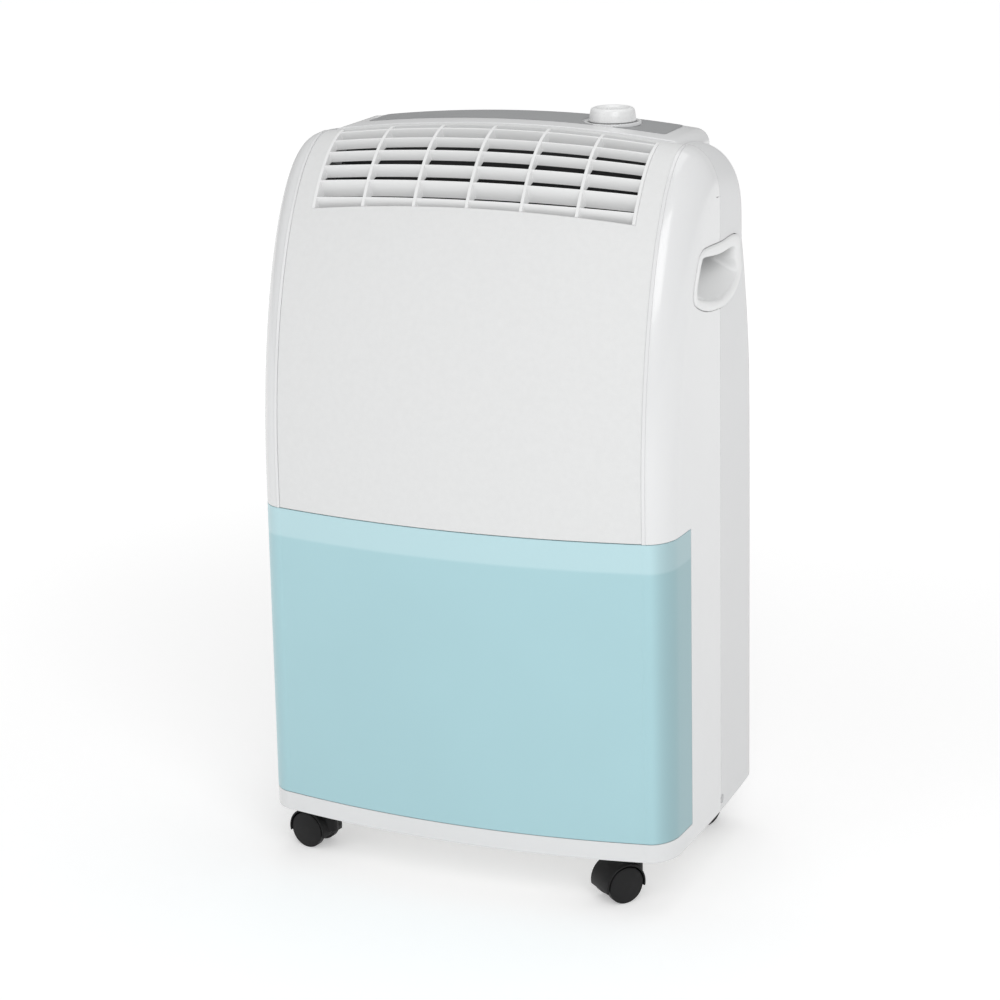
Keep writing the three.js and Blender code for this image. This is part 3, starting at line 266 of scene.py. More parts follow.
def turned(name, axis, profile, at, segments=64):
    """A closed body turned about an axis; profile points are (radius, distance along the axis)."""
    def ring(r, h):
        points = []
        for i in range(segments):
            angle = 2 * math.pi * i / segments
            a, b = r * math.cos(angle), r * math.sin(angle)
            p = PLANES[axis](a, b, h)
            points.append((p[0] + at[0], p[1] + at[1], p[2] + at[2]))
        return points
    return loft(name, [ring(*p) for p in profile], caps=False)


def rod(axis, radius, reach, at, segments=48):
    profile = [(0, reach[0]), (radius, reach[0]), (radius, reach[1]), (0, reach[1])]
    return turned("rod", axis, profile, at, segments)


def spline(p0, p1, p2, p3, t):
    """A point of a Catmull-Rom spline between p1 and p2."""
    return 0.5 * (2 * p1 + (p2 - p0) * t + (2 * p0 - 5 * p1 + 4 * p2 - p3) * t * t
                  + (3 * p1 - p0 - 3 * p2 + p3) * t ** 3)


OUTLINE_STEPS = 10


def smooth_outline(points, count=120):
    """Resamples a closed outline evenly along a smooth curve through its points."""
    out = []
    n = len(points)
    pts = [np.array(p, float) for p in points]
    for i in range(n):
        p0, p1, p2, p3 = pts[i - 1], pts[i], pts[(i + 1) % n], pts[(i + 2) % n]
        out += [spline(p0, p1, p2, p3, s / OUTLINE_STEPS) for s in range(OUTLINE_STEPS)]
    out = np.array(out + [out[0]])
    length = np.concatenate([[0], np.cumsum(np.linalg.norm(np.diff(out, axis=0), axis=1))])
    want = np.linspace(0, length[-1], count, endpoint=False)
    return np.stack([np.interp(want, length, out[:, 0]), np.interp(want, length, out[:, 1])], 1)


def offset_outline(points, amount):
    """Moves a closed outline along its outward normals."""
    ahead, behind = np.roll(points, -1, 0), np.roll(points, 1, 0)
    tangent = ahead - behind
    tangent /= np.linalg.norm(tangent, axis=1)[:, None]
    normal = np.stack([tangent[:, 1], -tangent[:, 0]], 1)
    area = np.sum(points[:, 0] * ahead[:, 1] - ahead[:, 0] * points[:, 1])
    return points + normal * amount * (1 if area > 0 else -1)


# ---- the body's outer form ------------------------------------------------------------------
def bezier(points, t):
    p = np.array(points, float)
    s = 1 - t
    at = s ** 3 * p[0] + 3 * s * s * t * p[1] + 3 * s * t * t * p[2] + t ** 3 * p[3]
    way = 3 * s * s * (p[1] - p[0]) + 6 * s * t * (p[2] - p[1]) + 3 * t * t * (p[3] - p[2])
    way /= np.linalg.norm(way)
    return at[0], at[1], -way[1], way[0]


def mix(a, b, t):
    return a + (b - a) * t


# A row of the form is: y, z, normal y, normal z, edge depth, edge power, crown.
ROUND_POWER = 2.0      # 2 rounds the edge as an ellipse, more makes it squarer
SQUARE_POWER = 4.0


def front_row(t):
    depth = mix(EDGE_DEPTH["front"], EDGE_DEPTH["top"], t)
    return (*bezier(FRONT_BEZIER, t), depth, ROUND_POWER, mix(1, TOP_CROWN, t))


def rear_row(t):
    return (*bezier(REAR_BEZIER, t), EDGE_DEPTH["top"], ROUND_POWER, TOP_CROWN * (1 - t))


def rear_wall_row(z):
    rise = min(max((z - REAR_EDGE_Z[0]) / REAR_EDGE_Z[1], 0), 1)
    y = mix(REAR_Y, REAR_TOP[0], (z - BASE_Z) / (REAR_TOP[1] - BASE_Z))
    depth = max(EDGE_DEPTH["rear"], REAR_EDGE_GROWTH[0] + REAR_EDGE_GROWTH[1] * rise * rise)
    return (y, z, 1.0, 0.0, depth, mix(SQUARE_POWER, ROUND_POWER, rise), 0.0)


def taper(z):
    return 1 - TOP_TAPER * (z - BASE_Z) / (CREST_Z - BASE_Z)


def side_reach(y):
    return HALF_WIDTH - (y - WIDEST_Y) ** 2 / (2 * SIDE_RADIUS) - CREASE_X


def side_x(x, u, y, z, inset=0.0):
    return np.sign(x) * (np.abs(x) + u * (side_reach(y) - inset)) * taper(z)


def skin_point(row, x, u, inset=0.0):
    y0, z0, ny, nz, depth, power, crown = row
    rounding = depth * (1 - (1 - u ** power) ** (1 / power))
    shift = inset + rounding - crown * CROWN * (1 - (x / CREASE_X) ** 2)
    y, z = y0 - ny * shift, z0 - nz * shift
    return side_x(x, u, y, z, inset), y, z


LEVELS = 66            # rows from the base to the crest, the same number front and rear
SIDE_COLUMNS = 20
STRAIGHT_LEVELS = 14
WALL_LEVELS = (10, 26)
NEAR_CREASE = (0.0, 1.0, 2.5)   # close stations beside each crease
BELOW_BASE = 10.0


def station_list():
    """Stations across the form: x between the creases, then the share u of the way round the edge."""
    near = [CREASE_X - gap for gap in NEAR_CREASE]
    crown = [*[-x for x in near], *np.linspace(-144, 144, 25), *reversed(near)]
    edge = [0.02] + [math.sin(a) for a in np.linspace(0.12, math.pi / 2, 13)]
    left, right = [(-CREASE_X, u) for u in reversed(edge)], [(CREASE_X, u) for u in edge]
    return left + [(x, 0.0) for x in crown] + right


STATIONS = station_list()


def chain(bottom):
    """Rows up the front, at the crest, and up the rear."""
    straight = list(np.linspace(bottom, FRONT_STRAIGHT_Z, STRAIGHT_LEVELS, endpoint=False))
    front = [(FRONT_Y, z, -1.0, 0.0, *front_row(0)[4:]) for z in straight]
    front += [front_row(t) for t in np.linspace(0, 1, LEVELS - len(straight), endpoint=False)]
    wall = [*np.linspace(bottom, REAR_EDGE_Z[0], WALL_LEVELS[0], endpoint=False),
            *np.linspace(REAR_EDGE_Z[0], REAR_TOP[1], WALL_LEVELS[1], endpoint=False)]
    rear = [rear_wall_row(z) for z in wall]
    rear += [rear_row(t) for t in np.linspace(1, 0, LEVELS - len(wall), endpoint=False)]
    return front, front_row(1), rear


def skin(inset, bottom=BASE_Z):
    """The outer form as a closed body, moved inwards by the inset."""
    front, crest, rear = chain(bottom)
    vertices, faces = [], []

    def add(p):
        vertices.append(tuple(float(v) for v in p))
        return len(vertices) - 1

    rings = []
    for x, u in STATIONS:
        ring = [skin_point(row, x, u, inset) for row in (*front, crest, *rear[::-1])]
        y_front, y_rear = ring[0][1], ring[2 * LEVELS][1]
        for i in range(1, SIDE_COLUMNS):
            y = mix(y_rear, y_front, i / SIDE_COLUMNS)
            ring.append((side_x(x, u, y, bottom, inset), y, bottom))
        rings.append(ring)
    ids = [[add(p) for p in ring] for ring in rings]
    count = len(rings[0])
    for r in range(len(rings) - 1):
        for i in range(count):
            j = (i + 1) % count
            faces.append((ids[r][i], ids[r + 1][i], ids[r + 1][j], ids[r][j]))
    for which, side in ((0, -1), (-1, 1)):
        ring, own = rings[which], ids[which]
        rows = []
        for level in range(LEVELS):
            a, b = ring[level], ring[2 * LEVELS - level]
            row = [own[level]]
            for i in range(1, SIDE_COLUMNS):
                y, z = mix(a[1], b[1], i / SIDE_COLUMNS), mix(a[2], b[2], i / SIDE_COLUMNS)
                if level == 0:
                    row.append(own[2 * LEVELS + SIDE_COLUMNS - i])
                else:
                    row.append(add((side_x(side * CREASE_X, 1.0, y, z, inset), y, z)))
            rows.append([*row, own[2 * LEVELS - level]])
        for low, high in zip(rows, rows[1:]):
            for i in range(SIDE_COLUMNS):
                faces.append((low[i], low[i + 1], high[i + 1], high[i]))
        for i in range(SIDE_COLUMNS):
            faces.append((rows[-1][i], rows[-1][i + 1], own[LEVELS]))
    return make("skin", vertices, faces, merge=SKIN_MERGE_M)


def open_skin(inset):
    """The form run on below the base, for cutting a shell open at the bottom."""
    return skin(inset, BASE_Z - BELOW_BASE)


def between_creases(inset, y, z):
    """A block between the two creases, narrowed by the inset on each side."""
    outline = [(z[0], -(CREASE_X * taper(z[0]) - inset)), (z[1], -(CREASE_X * taper(z[1]) - inset)),
               (z[1], CREASE_X * taper(z[1]) - inset), (z[0], CREASE_X * taper(z[0]) - inset)]
    return prism("y", outline, y)


def grille_region(inset, reach=22.0):
    """A block through the outlet's opening, made smaller by the inset."""
    low, high = np.array(GRILLE_LOW), np.array(GRILLE_HIGH)
    along = (high - low) / np.linalg.norm(high - low)
    low, high = low + along * inset, high - along * inset
    out = np.array([-along[1], along[0]])
    outline = [low - out * reach, (high[0], high[1] - reach), (high[0], high[1] + reach), low + out * reach]
    return prism("x", [tuple(p) for p in outline], (-GRILLE_HALF_X + inset, GRILLE_HALF_X - inset))


def console_footprint():
    half = CONSOLE_HALF_X + CONSOLE_GAP
    return box((-half, half), (CONSOLE_Y[0] - CONSOLE_GAP, CONSOLE_Y[1] + CONSOLE_GAP), (CONSOLE_Z - 20, TOP))


def wide(y, z):
    return box((-FAR, FAR), y, z)


def side_range(side, inner):
    return (inner, FAR) if side > 0 else (-FAR, -inner)


# ---- materials ------------------------------------------------------------------------------
def node_material(name):
    material = bpy.data.materials.new(name)
    material.use_nodes = True
    tree = material.node_tree
    shader = tree.nodes["Principled BSDF"]
    return material, tree, shader


def add_node(tree, kind, **values):
    node = tree.nodes.new(kind)
    for key, value in values.items():
        if key in node.inputs:
            node.inputs[key].default_value = value
        else:
            setattr(node, key, value)
    return node


def set_inputs(node, values):
    for key, value in values.items():
        node.inputs[key].default_value = value


WHITE = (1, 1, 1, 1)
CLOUD_SPAN = (0.3, 0.7)


def smooth_level(tree, source, span, levels=(0.0, 1.0)):
    """Maps a socket's span smoothly to two levels."""
    node = add_node(tree, "ShaderNodeMapRange", interpolation_type="SMOOTHSTEP")
    for end, at, level in zip(("Min", "Max"), span, levels):
        node.inputs["From " + end].default_value = at
        node.inputs["To " + end].default_value = level
    tree.links.new(source, node.inputs["Value"])
    return node.outputs["Result"]


def multiplied(tree, colour, level):
    """A colour socket multiplied by a level socket."""
    node = add_node(tree, "ShaderNodeMix", data_type="RGBA", blend_type="MULTIPLY")
    node.inputs[0].default_value = 1.0
    tree.links.new(colour, node.inputs[6])
    tree.links.new(level, node.inputs[7])
    return node.outputs[2]


def plastic(name, colour, roughness=0.4, tint=0.02, tint_scale=14.0, grain=900.0, bump=0.04, depth=0.0002,
            metallic=0.0, rounding=0.0, specular=0.5, coat=0.0, spread=0.04):
    """A clouded colour with fine grain in its roughness and surface; rounding softens its edges, mm."""
    material, tree, shader = node_material(name)
    link = tree.links.new
    where = add_node(tree, "ShaderNodeTexCoord")
    cloud = add_node(tree, "ShaderNodeTexNoise", Scale=tint_scale, Detail=3.0)
    link(where.outputs["Object"], cloud.inputs["Vector"])
    ramp = add_node(tree, "ShaderNodeValToRGB")
    for element, at, tone in zip(ramp.color_ramp.elements, CLOUD_SPAN, (1 - tint, 1 + tint)):
        element.position = at
        element.color = (*[min(1, c * tone) for c in colour], 1)
    link(cloud.outputs["Fac"], ramp.inputs["Fac"])
    link(ramp.outputs["Color"], shader.inputs["Base Color"])
    grit = add_node(tree, "ShaderNodeTexNoise", Scale=grain, Detail=2.0)
    link(where.outputs["Object"], grit.inputs["Vector"])
    spreader = add_node(tree, "ShaderNodeMapRange")
    set_inputs(spreader, {"To Min": max(0.02, roughness - spread), "To Max": min(1.0, roughness + spread)})
    link(grit.outputs["Fac"], spreader.inputs["Value"])
    link(spreader.outputs["Result"], shader.inputs["Roughness"])
    bumper = add_node(tree, "ShaderNodeBump", Strength=bump, Distance=depth)
    link(grit.outputs["Fac"], bumper.inputs["Height"])
    if rounding > 0:
        edge = add_node(tree, "ShaderNodeBevel", samples=6, Radius=rounding * MM)
        link(edge.outputs["Normal"], bumper.inputs["Normal"])
    link(bumper.outputs["Normal"], shader.inputs["Normal"])
    set_inputs(shader, {"Metallic": metallic, "Specular IOR Level": specular, "Coat Weight": coat})
    return material


TANK_BLUE = (0.4, 0.632, 0.681)
RIM_BLUE = (0.485, 0.70, 0.745, 1)
RIM_Z = (0.2725, 0.2755)         # metres
TANK_TURN = (0.35, 1.0)          # how far a face points to the side
# painted shade: the tank's colour falls to this share on faces that point to the side
TANK_SIDE_PAINTED_SHADE = (1.0, 0.74)


def tank_material():
    """Frosted blue plastic, paler where the lid shows through near the top, with painted shade that darkens
    the faces turned to the side.
    """
    material = plastic("frosted_blue", TANK_BLUE, roughness=0.3, tint=0.02, tint_scale=6, bump=0.02,
                       rounding=0.6, spread=0.03)
    tree = material.node_tree
    link = tree.links.new
    shader = tree.nodes["Principled BSDF"]
    old = shader.inputs["Base Color"].links[0].from_socket
    split = add_node(tree, "ShaderNodeSeparateXYZ")
    link(add_node(tree, "ShaderNodeTexCoord").outputs["Object"], split.inputs["Vector"])
    pale = add_node(tree, "ShaderNodeMix", data_type="RGBA")
    link(smooth_level(tree, split.outputs["Z"], RIM_Z), pale.inputs[0])
    link(old, pale.inputs[6])
    pale.inputs[7].default_value = RIM_BLUE
    # Painted shade: the blue is darkened where the face turns to the side.
    turn = add_node(tree, "ShaderNodeSeparateXYZ")
    link(add_node(tree, "ShaderNodeNewGeometry").outputs["Normal"], turn.inputs["Vector"])
    painted_side_shade = smooth_level(tree, turn.outputs["X"], TANK_TURN, TANK_SIDE_PAINTED_SHADE)
    link(multiplied(tree, pale.outputs[2], painted_side_shade), shader.inputs["Base Color"])
    return material


CUP_REACH = 0.05                 # metres
CUP_OPENNESS = (0.15, 0.62)
CUP_SHADE = (0.66, 1.0)


def shaded_cup(material):
    """Darkens the deep corner of the grip, where little light reaches."""
    tree = material.node_tree
    shader = tree.nodes["Principled BSDF"]
    old = shader.inputs["Base Color"].links[0].from_socket
    reach = add_node(tree, "ShaderNodeAmbientOcclusion", Distance=CUP_REACH)
    level = smooth_level(tree, reach.outputs["AO"], CUP_OPENNESS, CUP_SHADE)
    tree.links.new(multiplied(tree, old, level), shader.inputs["Base Color"])
    return material


def painted_glow(material, amount):
    """Paints light onto thin white blades: a white glow that lifts their shaded lower parts; they are no
    lamp.
    """
    shader = material.node_tree.nodes["Principled BSDF"]
    set_inputs(shader, {"Emission Color": WHITE, "Emission Strength": amount})
    return material


MATERIALS = {
    "casing": plastic("gloss_white", (0.765, 0.77, 0.775), roughness=0.22, tint=0.008, bump=0.015,
                      rounding=0.7, coat=0.25, spread=0.02),
    "rear": plastic("rear_white", (0.715, 0.72, 0.725), roughness=0.38, tint=0.008, bump=0.03, rounding=0.7),
    "panel": plastic("eroded_white", (0.745, 0.75, 0.75), roughness=0.55, tint=0.012, tint_scale=220,
                     grain=1500, bump=0.25, depth=0.0003, rounding=0.5),
    # painted light: the louvres and ribs glow white to lift their shade
    "slat": painted_glow(plastic("slat_white", (0.64, 0.645, 0.645), roughness=0.4, tint=0.01,
                            rounding=0.4), 0.18),
    "cup": shaded_cup(plastic("cup_white", (0.80, 0.805, 0.805), roughness=0.35, tint=0.01,
                              rounding=0.4)),
    "knob": plastic("knob_white", (0.85, 0.855, 0.855), roughness=0.28, tint=0.01, coat=0.2),
    "film": plastic("film_grey", (0.34, 0.345, 0.35), roughness=0.6, tint=0.03, specular=0.25),
    "inner": plastic("inner_white", (0.66, 0.66, 0.65), roughness=0.5),
    "tank": tank_material(),
    "black": plastic("moulded_black", (0.018, 0.018, 0.019), roughness=0.42, tint=0.2, bump=0.08),
    # near-black, darker than the black plastic: painted shade for the dark inside seen through the outlet,
    # also on the fan shroud
    "duct": plastic("outlet_painted_shade_black", (0.01, 0.01, 0.011), roughness=0.7, tint=0.2),
    "castor": plastic("castor_black", (0.009, 0.009, 0.0095), roughness=0.45, specular=0.22, tint=0.2,
                      bump=0.05, rounding=0.4),
    "rubber": plastic("cord_rubber", (0.016, 0.016, 0.016), roughness=0.7, tint=0.2, bump=0.1),
    "filter": plastic("filter_grey", (0.09, 0.095, 0.1), roughness=0.75, tint=0.1),
    "foam": plastic("float_foam", (0.8, 0.8, 0.78), roughness=0.9, tint=0.05, bump=0.3),
    "steel": plastic("zinc_steel", (0.46, 0.46, 0.47), roughness=0.35, metallic=1.0, tint=0.1, bump=0.05),
    "screw": plastic("blackened_steel", (0.12, 0.12, 0.125), roughness=0.4, metallic=1.0, tint=0.1,
                     bump=0.05),
    "aluminium": plastic("coil_aluminium", (0.6, 0.62, 0.63), roughness=0.4, metallic=1.0, tint=0.1),
    "copper": plastic("pipe_copper", (0.6, 0.3, 0.18), roughness=0.32, metallic=1.0, tint=0.15),
    "compressor": plastic("compressor_paint", (0.012, 0.012, 0.014), roughness=0.3, tint=0.2, coat=0.3),
}


def finish_piece(obj, body, material, slot, *nodes, angle=32):
    """Gives a piece its finish and its body, and hides the CAD nodes that it stands for."""
    smooth(obj, angle)
    obj.data.materials.clear()
    obj.data.materials.append(MATERIALS[material])
    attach(obj, body)
    if nodes:
        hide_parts(*nodes)
    return obj


# ---- casing ---------------------------------------------------------------------------------
SEAM_HALF = 0.1
FIT = 0.3              # gap between parts that nest
BEAD = (2.6, 0.6)      # width and height of the bead that frames the panel
BEAD_REAR_Y = 17.0
LIP_Y = (18.5, 40.0)   # the front shell's lip is thinned here for the rear shell's tongue
TONGUE_Y = (19.0, 30.0)
WINDOW_MARGIN = 10.0   # the front shell's ledge behind the panel
WINDOW_REAR_Y = 12.8
PANEL_REAR_Y = 18.0
SCREW = {"y": 25.5, "z": 51.0, "head": 3.2, "shank": 1.9, "sunk": 1.4}
REAR_SCREW = {"x": 140, "z": 50, "head": 3.7}
INTAKE = ((-108.3, 108.3), (95, FAR), (325.7, 506.3))
FILTER_SLOT = ((-105, 105), (98.9, 103.1), (510, TOP))
REAR_HOLES = ((7.6, (-112, 0, 311)), (6, (GLAND_X, 0, GLAND_Z)))   # the drain's and the lead's
HOOK_WALL = 2.6
HOOK_X = (-82, -58)


def side_wall_x(y, z):
    return float(side_x(CREASE_X, 1.0, y, z))


def facing(outline):
    """Starts a closed outline at the point straight behind the grip's centre."""
    angle = np.arctan2(outline[:, 1] - HANDLE_CENTRE[1], outline[:, 0] - HANDLE_CENTRE[0])
    return np.roll(outline, -int(np.argmin(np.abs(angle))), 0)


POCKET_DEPTH, POCKET_LOW, POCKET_RAMP = 29.0, 459.5, 25.0   # the floor sinks over the ramp's height
POCKET_Y, POCKET_BOW, POCKET_LEAST = 20, 0.006, 0.03
HANDLE_GAP = 0.3
HANDLE_RING = facing(smooth_outline(HANDLE_OUTER))
HANDLE_POCKET = facing(smooth_outline(HANDLE_INNER))


def handle_opening(side):
    outline = [tuple(p) for p in offset_outline(HANDLE_RING, HANDLE_GAP)]
    return prism("x", outline, side_range(side, 120))


def screw_hole(side):
    x = side * side_wall_x(SCREW["y"], SCREW["z"])
    at = (x, SCREW["y"], SCREW["z"])
    return join(rod("x", SCREW["head"] + 0.5, (-1.6, 3), at), rod("x", SCREW["shank"], (-14, 14), at))


def rear_screw_hole(side):
    at = (side * REAR_SCREW["x"], REAR_Y, REAR_SCREW["z"])
    return join(rod("y", REAR_SCREW["head"], (-1.3, 2), at), rod("y", SCREW["shank"], (-18, 2), at))


def front_casing():
    above_opening = (OPENING_Z[1], TOP)
    shell = cut(skin(0.0), open_skin(FRONT_WALL))
    keep(shell, wide((-FAR, SEAM_Y - SEAM_HALF), (0, TOP)))
    lip = cut(open_skin(1.2), open_skin(REAR_WALL + 0.4))
    cut(shell, keep(lip, wide(LIP_Y, (0, TOP))))
    rebate = keep(cut(open_skin(-1.0), open_skin(PANEL_WALL + FIT)),
                  between_creases(0.0, (-FAR, CONSOLE_Y[0] + 1), above_opening))
    window = between_creases(WINDOW_MARGIN, (-FAR, WINDOW_REAR_Y), (OPENING_Z[1] + WINDOW_MARGIN, TOP))
    cut(shell, rebate, window, wide((-FAR, TANK_SIDE_Y), OPENING_Z), console_footprint(), grille_region(-FIT))
    bead = keep(cut(open_skin(-BEAD[1]), open_skin(0.8)),
                between_creases(-BEAD[0], (-FAR, BEAD_REAR_Y), above_opening))
    join(shell, cut(bead, between_creases(0.0, (-FAR, FAR), (0, TOP))))
    for side in (-1, 1):
        cut(shell, handle_opening(side), screw_hole(side))
    shell.name = "front_casing_shell"
    return finish_piece(shell, "body", "casing", "casing_white", "front_casing")


def front_panel():
    sheet = cut(skin(0.0), open_skin(PANEL_WALL))
    keep(sheet, between_creases(0.12, (-FAR, PANEL_REAR_Y), (OPENING_Z[1] + FIT, TOP)))
    cut(sheet, grille_region(-0.15))
    sheet.name = "front_panel_sheet"
    return finish_piece(sheet, "body", "panel", "panel_white", "front_panel")


def cord_hook(way):
    """An upturned or downturned hook that holds the coiled lead."""
    root = CORD_Z + way * (COIL_R - CORD_R - HOOK_WALL)
    outline = fillet([(104.5, root - way * 14), (104.5, root), (133, root), (133, root + way * 11),
                      (136, root + way * 11), (136, root - way * 14)], [0, 2, 1.5, 1.2, 1.2, 6])
    return bevel(prism("x", outline, HOOK_X), 0.8)


def rear_casing():
    shell = cut(skin(0.0), open_skin(REAR_WALL))
    keep(shell, wide((SEAM_Y + SEAM_HALF, FAR), (0, TOP)))
    tongue = keep(cut(skin(1.3), open_skin(REAR_WALL)), wide(TONGUE_Y, (0, TOP)))
    join(shell, tongue)
    holes = [rod("y", radius, (90, FAR), at) for radius, at in REAR_HOLES]
    cut(shell, box(*INTAKE), box(*FILTER_SLOT), console_footprint(), *holes)
    for side in (-1, 1):
        cut(shell, handle_opening(side), screw_hole(side), rear_screw_hole(side))
    for way in (1, -1):
        join(shell, cord_hook(way))
    shell.name = "rear_casing_shell"
    return finish_piece(shell, "body", "rear", "casing_white", "rear_casing")


CUP_RIM = ((0.2, 1.5), (0.5, 1.6), (0.8, 1.25), (0.95, 0.6), (1.0, -0.4))   # share inwards, height
CUP_WALL = ((0.99, 0.15), (0.975, 0.5), (0.96, 0.8), (0.93, 0.96))   # size, share of the depth
CUP_FLOOR = (0.88, 0.75, 0.6, 0.45, 0.3, 0.15, 0.01)   # size
CUP_UNDERSIDE = (0.01, 0.3, 0.6, 0.8)   # size


def handle_cup(side, word):
    """Raised rim and a pocket that deepens towards its upper rear corner, as one closed surface."""
    centre = np.array(HANDLE_CENTRE)
    outer, inner = HANDLE_RING, HANDLE_POCKET

    def ring(points, height, depth=0.0):
        """Depth is a share of the pocket's own depth at each point."""
        out = []
        for y, z in points:
            rise = (z - POCKET_LOW - POCKET_BOW * (y - POCKET_Y) ** 2) / POCKET_RAMP
            sunk = POCKET_DEPTH * min(1.0, max(POCKET_LEAST, rise))
            out.append((side * (side_wall_x(y, z) + height - depth * sunk), y, z))
        return out

    def between(share):
        return outer + (inner - outer) * share

    def pocket(shrink):
        return centre + (inner - centre) * shrink

    rings = [
        ring(offset_outline(outer, -0.2), -2.4), ring(offset_outline(outer, -0.12), 0.5),
        ring(offset_outline(outer, -0.45), 1.15),
        *[ring(between(share), height) for share, height in CUP_RIM],
        *[ring(pocket(size), -1, depth) for size, depth in CUP_WALL],
        *[ring(pocket(size), -1, 1.0) for size in CUP_FLOOR],
        *[ring(pocket(size), -3, 1.0) for size in CUP_UNDERSIDE],
        ring(pocket(0.96), -3, 0.95), ring(pocket(1.02), -3, 0.2), ring(between(0.5), -4),
        ring(offset_outline(outer, -0.8), -4), ring(offset_outline(outer, -0.2), -2.4),
    ]
    cup = loft("handle_cup_%s_shell" % word, rings, caps=False)
    return finish_piece(cup, "body", "cup", "casing_white", "handle_cup_%s" % word, angle=60)


# ---- outlet ---------------------------------------------------------------------------------
RIB = 2.4
RIB_DEPTH = 3.5
RIB_LOW = 0.54         # where the ribs start along the front's curve
LOUVRE_END_GAP = 0.8
PITCH = (2 * GRILLE_HALF_X - RIB) / GRILLE_COLUMNS


def louvre_point(t, x, along, across):
    """A point of a louvre's section, down from its flush upper edge and through its thickness."""
    _, y, z = skin_point(front_row(t), x, 0.0, 0.1)
    return (y + math.sin(LEAN) * along + math.cos(LEAN) * across,
            z - math.cos(LEAN) * along + math.sin(LEAN) * across)


def louvre(t, length):
    section = fillet([(0, 0), (length, 0), (length, LOUVRE_THICKNESS), (0, LOUVRE_THICKNESS)], 0.35, 3)
    half = GRILLE_HALF_X - LOUVRE_END_GAP
    rings = [[(x, *louvre_point(t, x, *corner)) for corner in section] for x in np.linspace(-half, half, 49)]
    return loft("blade", rings)


def rib(x):
    """A bar with a flush front and a saw-toothed rear that reaches down along each louvre."""
    flush = [RIB_LOW, *[t for t, _ in LOUVRES], 1.0]
    ts = np.linspace(RIB_LOW, 1.0, 40)
    front = [skin_point(front_row(t), x, 0.0)[1:] for t in ts]
    rear = []
    for (t, length), below in zip(LOUVRES, flush):
        rear.append(skin_point(front_row(below), x, 0.0, RIB_DEPTH)[1:])
        rear.append(louvre_point(t, x, length - 0.3, LOUVRE_THICKNESS / 2))
    rear.append(skin_point(front_row(1.0), x, 0.0, RIB_DEPTH)[1:])
    outline = [*front, *reversed(rear)]
    rings = [[(x + dx, y, z) for y, z in outline] for dx in (-RIB / 2, RIB / 2)]
    return keep(loft("rib", rings), grille_region(0.0))


def outlet():
    ribs = [rib((i - GRILLE_COLUMNS / 2) * PITCH) for i in range(GRILLE_COLUMNS + 1)]
    finish_piece(gather("outlet_ribs", ribs), "body", "slat", "casing_white", "outlet_grille")
    blades = gather("outlet_louvres", [louvre(*blade) for blade in LOUVRES])
    finish_piece(blades, "body", "slat", "casing_white", angle=40)


# The funnel's half width, front and rear y, then front and rear z
DUCT_BOTTOM = (110, -41, 12, 498, 498)
DUCT_TOP = (126, -39, 12, 513, 561)
DUCT_WALL = 1.5
CURTAIN_Y = (9.4, 10.6)
CURTAIN_Z = 545


def duct():
    """A near-black funnel below the outlet and a near-black curtain behind the top louvre, as painted shade
    for the dark inside of the outlet.
    """
    def ring(grow, place):
        half, front, rear, z_front, z_rear = place
        return [(-half - grow, front - grow, z_front), (half + grow, front - grow, z_front),
                (half + grow, rear + grow, z_rear), (-half - grow, rear + grow, z_rear)]
    rings = [ring(0, DUCT_BOTTOM), ring(0, DUCT_TOP), ring(DUCT_WALL, DUCT_TOP), ring(DUCT_WALL, DUCT_BOTTOM),
             ring(0, DUCT_BOTTOM)]
    funnel = loft("funnel", rings, caps=False)
    crest, half = front_row(1.0), DUCT_TOP[0]
    top = [(skin_point(crest, x, 0.0, PANEL_WALL + 0.4)[2], x) for x in np.linspace(-half, half, 22)]
    # painted shade: the curtain is a black sheet that darkens the slot behind the top louvre
    curtain = prism("y", [(CURTAIN_Z, -half), *top, (CURTAIN_Z, half)], CURTAIN_Y)
    return finish_piece(gather("outlet_duct", [funnel, curtain]), "body", "duct", "black_plastic")


# ---- console --------------------------------------------------------------------------------
def console_top(x):
    return CONSOLE_TOP - CONSOLE_DROP * (x / CREASE_X) ** 2


def console_outline(grow, bottom):
    end = CONSOLE_HALF_X - CONSOLE_END_R
    radius = CONSOLE_END_R + grow
    points = []
    for i in range(13):
        angle = math.pi / 2 * i / 12
        points.append((end + radius * math.cos(angle),
                       console_top(end) - CONSOLE_END_R + radius * math.sin(angle)))
    points += [(x, console_top(x) + grow) for x in np.linspace(end - 6, 0, 20, endpoint=False)]
    left = [(-x, z) for x, z in reversed(points)]
    half = CONSOLE_HALF_X + grow
    return [(half, bottom), *points, (0, console_top(0) + grow), *left, (-half, bottom)]


ROUND = 96             # segments round the knob and its seat
RECESS_R = (22.4, 22.9)


def console():
    low, high = CONSOLE_Y
    stops = [(low, -2.2), (low + 0.15, -1.4), (low + 0.6, -0.6), (low + 1.3, -0.15), (low + 2.2, 0),
             (high - 3, 0), (high - 1.6, -0.25), (high - 0.6, -0.9), (high - 0.15, -1.7), (high, -2.6)]
    rings = [[(x, y, z) for x, z in console_outline(grow, CONSOLE_Z)] for y, grow in stops]
    shell = loft("control_console_shell", rings)
    inner = loft("inner", [[(x, y, z) for x, z in console_outline(-REAR_WALL, CONSOLE_Z - 5)]
                           for y in (low + REAR_WALL, high - REAR_WALL)])
    x, y = KNOB_XY
    floor, rim = console_top(x) - 1.4, console_top(x) + 4
    profile = [(0, floor), (RECESS_R[0], floor), (RECESS_R[1], rim), (0, rim)]
    recess = turned("recess", "z", profile, (x, y, 0), ROUND)
    cut(shell, inner, rod("z", 5, (CONSOLE_Z, TOP), (x, y, 0)), recess)
    return finish_piece(shell, "body", "casing", "casing_white", "control_console")


FILM_HALF, FILM_REAR, FILM_CORNER = 124.0, 84.5, 3.0
FILM_SUNK, FILM_PROUD = 0.4, 0.42


